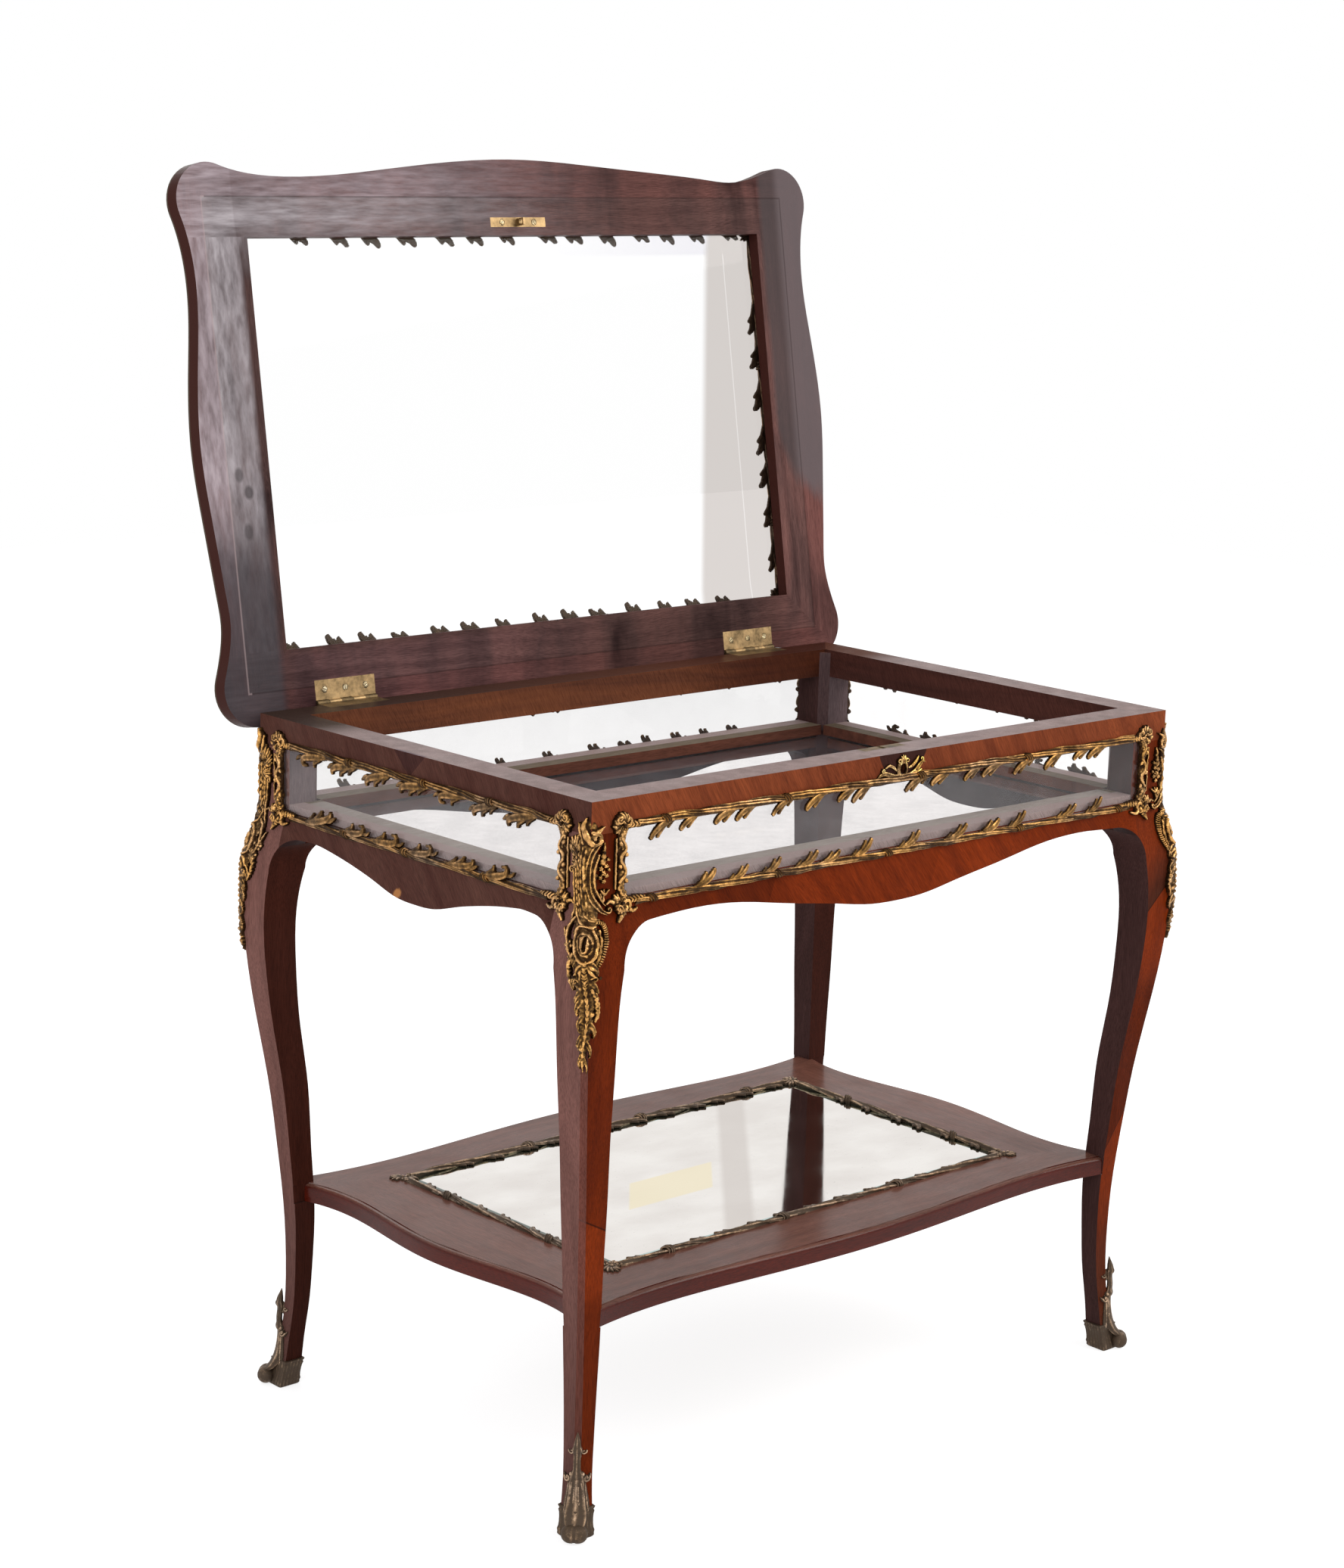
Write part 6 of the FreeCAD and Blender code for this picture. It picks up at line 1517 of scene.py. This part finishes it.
def draw_ring(wide, deep, middle, lift, gap, size, rng):
    """Paths and marks of leafy rods round a rectangle, with the leaves' tips turned inwards."""
    paths, marks = [], []
    for turn, angle, c, s in quarters():
        half, reach = (wide, deep) if turn % 2 == 0 else (deep, wide)

        def at(u, v, h):
            return c * u - s * v, s * u + c * v + middle, h

        paths.append([at(u, -reach, lift) for u in np.linspace(-half + 9, half - 9, 30)])
        count = int((2 * half - 60) / gap)
        start = -gap * count / 2
        for i in range(count):
            u = start + gap * i + 6 * rng.random()
            lean = angle + math.radians(-6 + 12 * rng.random())
            marks.append((BROAD if i % 3 else SPLIT, at(u, -reach + 0.8, 0.4), (0.0, 0.0, lean),
                          size * (0.9 + 0.2 * rng.random())))
            if i % 4 == 1:
                marks += bindings(*at(u - 12, -reach, lift), angle)
    return paths, marks


def draw_ring_corner():
    """Rosette and leaves where two leafy rods meet; the rods run off along +u and +v."""
    r = Relief(-18, 28, -18, 28, 0.8)
    arm = ((0, 0, 4.6, 3.4), (10, 0.4, 3.8, 3.6), (19, -0.3, 3.0, 3.2))
    for rows in (arm, [(v, u, wide, rise) for u, v, wide, rise in arm]):
        r.stroke(rows, ribs=4.5, slant=0.7, rib_depth=0.4)
    r.fan(0, 0, 178, 272, 5, 3, 14, 2.4, 3.8, 10)
    r.fan(3, 3, 20, 70, 3, 3, 13, 2.2, 4.0, -8)
    r.boss(0, 0, 7, 7, 4.6, petals=6, hollow=0.3, turn=20)
    r.boss(0, 0, 2.4, 2.4, 5.2)
    r.scroll(9, -2.5, 3.4, 150, -320, 1.3, 4.2)
    r.scroll(-2.5, 9, 3.4, -60, 320, 1.3, 4.2)
    return r


def leafy_ring(name, wide, deep, middle, place, material, tree, leaves, gap, size, seed, thick):
    """Leafy rods round a rectangle with their corners, as one piece."""
    ring = draw_ring(wide, deep, middle, 1.9, gap, size, np.random.default_rng(seed))
    pieces = [grown(name, tree, ring, leaves, material, place, **{"Rod Radius": thick, "Seed": float(seed)})]
    relief = draw_ring_corner()
    for (_, _, c, s), (sign_u, sign_v) in zip(quarters(), ((-1, -1), (1, -1), (1, 1), (-1, 1))):
        pieces.append(cast(name + "_corner", relief, lambda u, v, h: place(
            c * u - s * v + sign_u * wide, s * u + c * v + sign_v * deep + middle, h)))
    return joined(name, pieces)


def lid_place(u, v, out):
    """Place on the open lid: u across, v upwards and out towards its top side, both from the hinge pin."""
    c, s = math.cos(LID_TILT), math.sin(LID_TILT)
    return u * MM, (LID_PIN_Y + v * s + out * c) * MM, (LID_PIN_Z + v * c - out * s) * MM


class DISPLAY_TABLE_OT_leafy_trims(bpy.types.Operator):
    """Leafy bronze trims round the lid's glass and the shelf's mirror"""
    bl_idname = "display_table.leafy_trims"
    bl_label = "Leafy trims"

    def execute(self, context):
        tree = bound_rod_tree()
        patina = bpy.data.materials["patinated_cast"]
        leaves = leaf_objects("wavy_leaf", "hooked_leaf")

        def on_shelf(u, v, h):
            return u * MM, v * MM, (SHELF_TOP + h + 0.2) * MM

        def on_lid(u, v, h):
            return lid_place(u, v, LID_TOP + h)

        piece = leafy_ring("mirror_leaves", 292.5, 171.0, 0.0, on_shelf, patina, tree, leaves, 42.0, 0.98,
                           SEED + 2, 0.0033)
        mount(piece, patina, "case", "dark_bronze", "mirror_trim")
        piece = leafy_ring("lid_leaves", 373.5, 221.5, 275.8, on_lid, patina, tree, leaves, 48.0, 1.28,
                           SEED + 3, 0.0022)
        mount(piece, patina, "lid", "dark_bronze", "lid_glass_trim")
        for leaf in leaves:
            bpy.data.objects.remove(leaf)
        return {"FINISHED"}


# ---- Escutcheon

def draw_escutcheon():
    """Open scrollwork round the keyhole, with a shell on top; u across, v up."""
    r = Relief(-42, 34, 711, 740, 0.32)
    r.boss(-1.5, 723.2, 8.4, 10.6, 3.4, hole=0.56, full=0.3)
    r.fan(-1.5, 731, 40, 140, 5, 0.5, 6.8, 1.7, 3.4, 0)
    r.scroll(-7.2, 731.5, 3.2, -60, 360, 1.2, 3.6)
    r.scroll(4.2, 731.5, 3.2, 240, -360, 1.2, 3.6)
    r.stroke([(5, 717, 1.6, 3.2), (11, 716.8, 2.9, 4.0), (17, 719.5, 3.1, 4.2), (22, 724.3, 2.8, 4.0),
              (27.5, 728.6, 1.6, 3.4), (31, 727.2, 0.8, 2.6)], hollow=0.35)
    r.stroke([(8, 724, 1.2, 3.0), (13, 726, 2.0, 3.4), (18, 730, 1.8, 3.4), (21, 734, 0.9, 2.6)], hollow=0.2)
    r.stroke([(15, 720, 1.2, 3.2), (20, 718.4, 1.8, 3.4), (25.5, 720.5, 0.9, 2.8)])
    r.scroll(25.5, 731.2, 2.6, -80, 330, 1.0, 3.2)
    r.stroke([(-8, 717, 1.6, 3.2), (-14, 716.8, 2.9, 4.0), (-20, 718.6, 3.1, 4.2), (-27, 721.0, 2.6, 3.8),
              (-33.5, 719.8, 1.6, 3.2), (-39, 715.4, 0.8, 2.4)], hollow=0.35)
    r.stroke([(-11, 723, 1.2, 3.0), (-15.5, 726.5, 2.0, 3.4), (-21, 728.6, 1.7, 3.2), (-26, 726.8, 0.9, 2.6)],
             hollow=0.2)
    r.stroke([(-20, 718, 1.1, 3.0), (-25, 715.6, 1.6, 3.2), (-30, 714.4, 0.8, 2.6)])
    r.scroll(-29.5, 724.4, 2.4, 250, -330, 1.0, 3.2)
    r.stroke([(-7, 714.5, 1.6, 3.0), (-1.5, 713.4, 2.0, 3.4), (4, 714.5, 1.6, 3.0)], ribs=2.6, rib_depth=0.4)
    r.rough_cast(0.06, SEED + 4)
    return r


class DISPLAY_TABLE_OT_escutcheon(bpy.types.Operator):
    """Scrolled keyhole plate on the front rail"""
    bl_idname = "display_table.escutcheon"
    bl_label = "Escutcheon"

    def execute(self, context):
        gilt = cast_metal("bright_cast", (0.90, 0.47, 0.11), tuple(finish().gilt_dark), 0.24)
        piece = cast("keyhole_plate", draw_escutcheon(), side_place("front"), 0.4)
        mount(piece, gilt, "case", "gilt_bronze", "escutcheon")
        return {"FINISHED"}


# ---- Screw heads on the lid

class DISPLAY_TABLE_OT_screw_heads(bpy.types.Operator):
    """Slotted heads of the screws in the hinges and the strike plate"""
    bl_idname = "display_table.screw_heads"
    bl_label = "Screw heads"

    def execute(self, context):
        brass = cast_metal("bright_brass", (1.0, 0.78, 0.42), (0.020, 0.012, 0.006), 0.30, speck=1500.0)
        heads = []
        hinges = [(sign * u, 14.0) for sign in (-1, 1) for u in (269.8, 296.8, 323.8)]
        strike = [(-23.0, 506.0), (23.0, 506.0)]
        for number, (u, v) in enumerate(hinges + strike):
            r = Relief(-4.5, 4.5, -4.5, 4.5, 0.3)
            r.boss(0, 0, 3.9, 3.9, 0.32, full=0.05)
            r.boss(0, 0, 3.1, 3.1, 1.25, full=0.30)
            angle = 0.5 + 1.1 * number
            c, s = 3.6 * math.cos(angle), 3.6 * math.sin(angle)
            r.stroke([(-c, -s, 0.42, 0.9), (c, s, 0.42, 0.9)], cut=True, full=0.2)
            heads.append(cast("head", r, lambda x, y, h: lid_place(x + u, y + v, LID_UNDER - 0.22 * h), 0.2))
        mount(joined("screw_heads", heads), brass, "lid", "old_brass")
        return {"FINISHED"}


# ---- Feet: ribbed cuff, rolled toe, stem up the arris with knobs and a bud

def loft(name, rings, wear):
    """Closed skin through rings of points, each ring with the same even number of points."""
    rings = np.array(rings, float)
    count, around = rings.shape[:2]
    index = np.arange(count * around).reshape(count, around)
    ahead = np.roll(index, -1, 1)
    walls = np.stack([index[:-1], ahead[:-1], ahead[1:], index[1:]], -1).reshape(-1, 4)
    half = np.arange(around // 2 - 1)
    cap = np.stack([half, around - 1 - half, around - 2 - half, half + 1], 1)
    caps = [index[0][cap], index[-1][cap][:, ::-1]]
    quads = np.vstack([walls, *caps])
    made = mesh_object(name, rings.reshape(-1, 3), quads, np.ones(len(quads), bool),
                       np.broadcast_to(wear, (count, around)).ravel())
    if sum(face.center.dot(face.normal) * face.area for face in made.data.polygons) < 0:
        made.data.flip_normals()
    return made


def foot_place(sign_x, sign_y):
    """Diagonal place: d outwards from the case's corner, w across, z up, in millimetres to metres."""
    def place(d, w, z):
        p, q = (d + w) / math.sqrt(2), (d - w) / math.sqrt(2)
        return np.stack([sign_x * (HALF_WIDTH + p) * MM, sign_y * (HALF_DEPTH + q) * MM, z * MM], -1)

    return place


# Rows of the stem: (outwards, height, half thickness, half width)
STEM = ((-25.4, 108.0, 0.3, 0.3), (-24.8, 103.5, 1.6, 1.8), (-23.8, 98.0, 3.0, 3.2), (-23.2, 94.0, 3.6, 3.8),
        (-23.2, 91.5, 4.6, 5.0), (-24.0, 88.0, 3.8, 4.2), (-23.6, 84.0, 3.0, 3.5), (-22.8, 76.0, 3.1, 3.7),
        (-23.0, 70.0, 3.3, 4.0), (-23.6, 65.5, 4.8, 6.0), (-26.2, 61.5, 5.4, 7.0), (-27.0, 54.0, 6.2, 7.6),
        (-26.6, 46.0, 6.6, 8.2), (-25.2, 38.0, 6.6, 9.2), (-22.8, 31.0, 6.2, 10.2), (-19.6, 25.5, 5.4, 11.0),
        (-15.6, 20.8, 4.2, 11.2), (-11.0, 17.2, 2.8, 10.0), (-8.0, 13.0, 2.0, 6.0))
# Rows of the roll: (across, radius)
HALF_ROLL = ((0.8, 8.7), (2.0, 9.2), (4.0, 9.2), (6.4, 8.8), (8.6, 7.9), (10.4, 6.6), (11.8, 5.0),
             (12.6, 3.4), (13.0, 1.8), (13.2, 0.3))
ROLL = (*((-w, r) for w, r in reversed(HALF_ROLL)), *HALF_ROLL)
# Rows of the cuff: (height, how far it stands out from the leg)
CUFF = ((0.3, 0.5), (0.3, 1.6), (1.6, 2.6), (4.0, 2.3), (6.5, 2.7), (9.0, 1.9), (13.0, 1.5), (18.0, 1.4),
        (22.0, 1.6), (25.0, 2.2), (26.5, 1.5), (28.2, 2.3), (29.6, 2.6), (30.0, 1.6), (30.0, 0.6))
CUFF_HALF = 10.9


def foot_stem(place):
    rows = smooth_line(STEM, 6)
    slope = np.gradient(rows[:, :2], axis=0)
    slope /= np.linalg.norm(slope, axis=1)[:, None]
    turn = np.linspace(0, 2 * math.pi, 24, endpoint=False)
    ripple = 1 + 0.07 * np.cos(6 * turn)
    rings, wear = [], []
    for (d, z, thick, across), (run_d, run_z) in zip(rows, slope):
        out = np.cos(turn) * max(thick, 0.15) * ripple
        rings.append(place(d - run_z * out, np.sin(turn) * max(across, 0.15) * ripple, z + run_d * out))
        wear.append(0.40 + 0.28 * np.cos(6 * turn) + 0.02 * thick)
    return loft("stem", rings, np.array(wear))


def foot_roll(place):
    turn = np.linspace(0, 2 * math.pi, 36, endpoint=False)
    rings = [place(-8.9 + r * np.cos(turn), np.full(36, float(w)), 9.5 + r * np.sin(turn)) for w, r in ROLL]
    wear = [0.38 if abs(w) < 1 else 0.60 - 0.012 * abs(w) for w, r in ROLL]
    return loft("roll", rings, np.array(wear)[:, None])


def foot_cuff(place, sink):
    """Square cuff with upright ribs that follows the leg; sink gives the leg's face by height."""
    share = np.linspace(-1, 1, 18, endpoint=False)
    turn = np.concatenate([math.pi / 2 * side + np.arctan(share) for side in range(4)])
    ribs = np.tile(np.cos(2 * math.pi * 3 * share), 4)
    corner = (np.abs(np.cos(turn)) ** 12 + np.abs(np.sin(turn)) ** 12) ** (-1 / 12)
    rings, wear = [], []
    for z, proud in CUFF:
        middle = float(np.interp(z, sink[:, 0], sink[:, 1])) - CUFF_HALF
        size = (CUFF_HALF + proud) * corner * (1 + 0.022 * ribs * min(z / 4, 1))
        p, q = middle + size * np.cos(turn), middle + size * np.sin(turn)
        rings.append(place((p + q) / math.sqrt(2), (p - q) / math.sqrt(2), np.full(72, z)))
        wear.append(0.44 + 0.14 * ribs + 0.05 * (proud - 1.8))
    return loft("cuff", rings, np.array(wear))


def draw_foot_leaf():
    """Leaf that spreads from the stem over both faces of the leg, above the cuff."""
    r = Relief(-17, 17, 24, 96, 0.5)
    r.stroke([(0, 26, 16.5, 3.0), (0, 33, 15.5, 3.2), (0, 42, 13.0, 3.4), (0, 52, 10.6, 3.4),
              (0, 60, 7.6, 3.2)], full=0.3, reeds=7)
    for way in (-1, 1):
        r.stroke([(13 * way, 27, 1.5, 2.6), (11.0 * way, 36, 1.6, 3.0), (8.6 * way, 48, 1.5, 3.0),
                  (7.6 * way, 58, 1.2, 3.0)])
        r.stroke([(9 * way, 28, 1.3, 2.6), (7.8 * way, 38, 1.4, 3.0), (6.0 * way, 50, 1.3, 3.0)])
        r.scroll(8.8 * way, 60.5, 4.0, 90 - 90 * way, -330 * way, 1.7, 4.6, shrink=0.2)
        r.boss(8.8 * way, 60.5, 2.0, 2.0, 5.4)
        r.boss(4.4 * way, 64.5, 2.4, 2.6, 5.2)
        r.stroke([(12.5 * way, 58, 1.4, 3.6), (14.6 * way, 62.5, 0.8, 3.0)])
        r.scroll(4.8 * way, 86.5, 2.6, 90 - 90 * way, -300 * way, 1.3, 4.6)
    r.stroke([(0, 82, 3.6, 6.4), (0, 90, 3.6, 6.4)])
    r.rough_cast(0.10, SEED + 5)
    return r


class DISPLAY_TABLE_OT_feet(bpy.types.Operator):
    """Bronze feet with ribbed cuffs, rolled toes and knobbed stems"""
    bl_idname = "display_table.feet"
    bl_label = "Feet"

    def execute(self, context):
        patina = bpy.data.materials["patinated_cast"]
        sink = leg_swell(3, 112)
        relief = draw_foot_leaf()
        for name, sign_x, sign_y in CORNERS:
            place = foot_place(sign_x, sign_y)
            parts = [foot_stem(place), foot_roll(place), foot_cuff(place, sink),
                     cast("leaf", relief, corner_place(sign_x, sign_y, sink))]
            mount(joined("foot_mount_" + name, parts), patina, "case", "dark_bronze", "sabot_" + name)
        return {"FINISHED"}


class DISPLAY_TABLE_PT_panel(bpy.types.Panel):
    bl_idname = "DISPLAY_TABLE_PT_panel"
    bl_label = "Display Table"
    bl_space_type = "VIEW_3D"
    bl_region_type = "UI"
    bl_category = "Display Table"

    def draw(self, context):
        for group_name in SETTINGS:
            settings = getattr(context.scene, "display_table_" + group_name)
            box = self.layout.box()
            for key in settings.__annotations__:
                box.prop(settings, key)
        for operator in OPERATORS:
            self.layout.operator(operator.bl_idname)


SETTINGS = {"finish": TableFinish, "ornament": TableOrnament, "studio": TableStudio}
OPERATORS = (DISPLAY_TABLE_OT_studio, DISPLAY_TABLE_OT_case_woods, DISPLAY_TABLE_OT_lid_woods,
             DISPLAY_TABLE_OT_shelf_woods, DISPLAY_TABLE_OT_glazing, DISPLAY_TABLE_OT_fittings,
             DISPLAY_TABLE_OT_chutes, DISPLAY_TABLE_OT_pane_frames,
             DISPLAY_TABLE_OT_leafy_trims, DISPLAY_TABLE_OT_escutcheon, DISPLAY_TABLE_OT_screw_heads,
             DISPLAY_TABLE_OT_feet)


def register():
    for kind in (*SETTINGS.values(), *OPERATORS, DISPLAY_TABLE_PT_panel):
        bpy.utils.register_class(kind)
    for name, kind in SETTINGS.items():
        setattr(bpy.types.Scene, "display_table_" + name, PointerProperty(type=kind))


def unregister():
    for name in SETTINGS:
        delattr(bpy.types.Scene, "display_table_" + name)
    for kind in reversed((*SETTINGS.values(), *OPERATORS, DISPLAY_TABLE_PT_panel)):
        bpy.utils.unregister_class(kind)


def main():
    register()
    for operator in OPERATORS:
        group_name, call = operator.bl_idname.split(".")
        getattr(getattr(bpy.ops, group_name), call)()


if __name__ == "__main__":
    main()
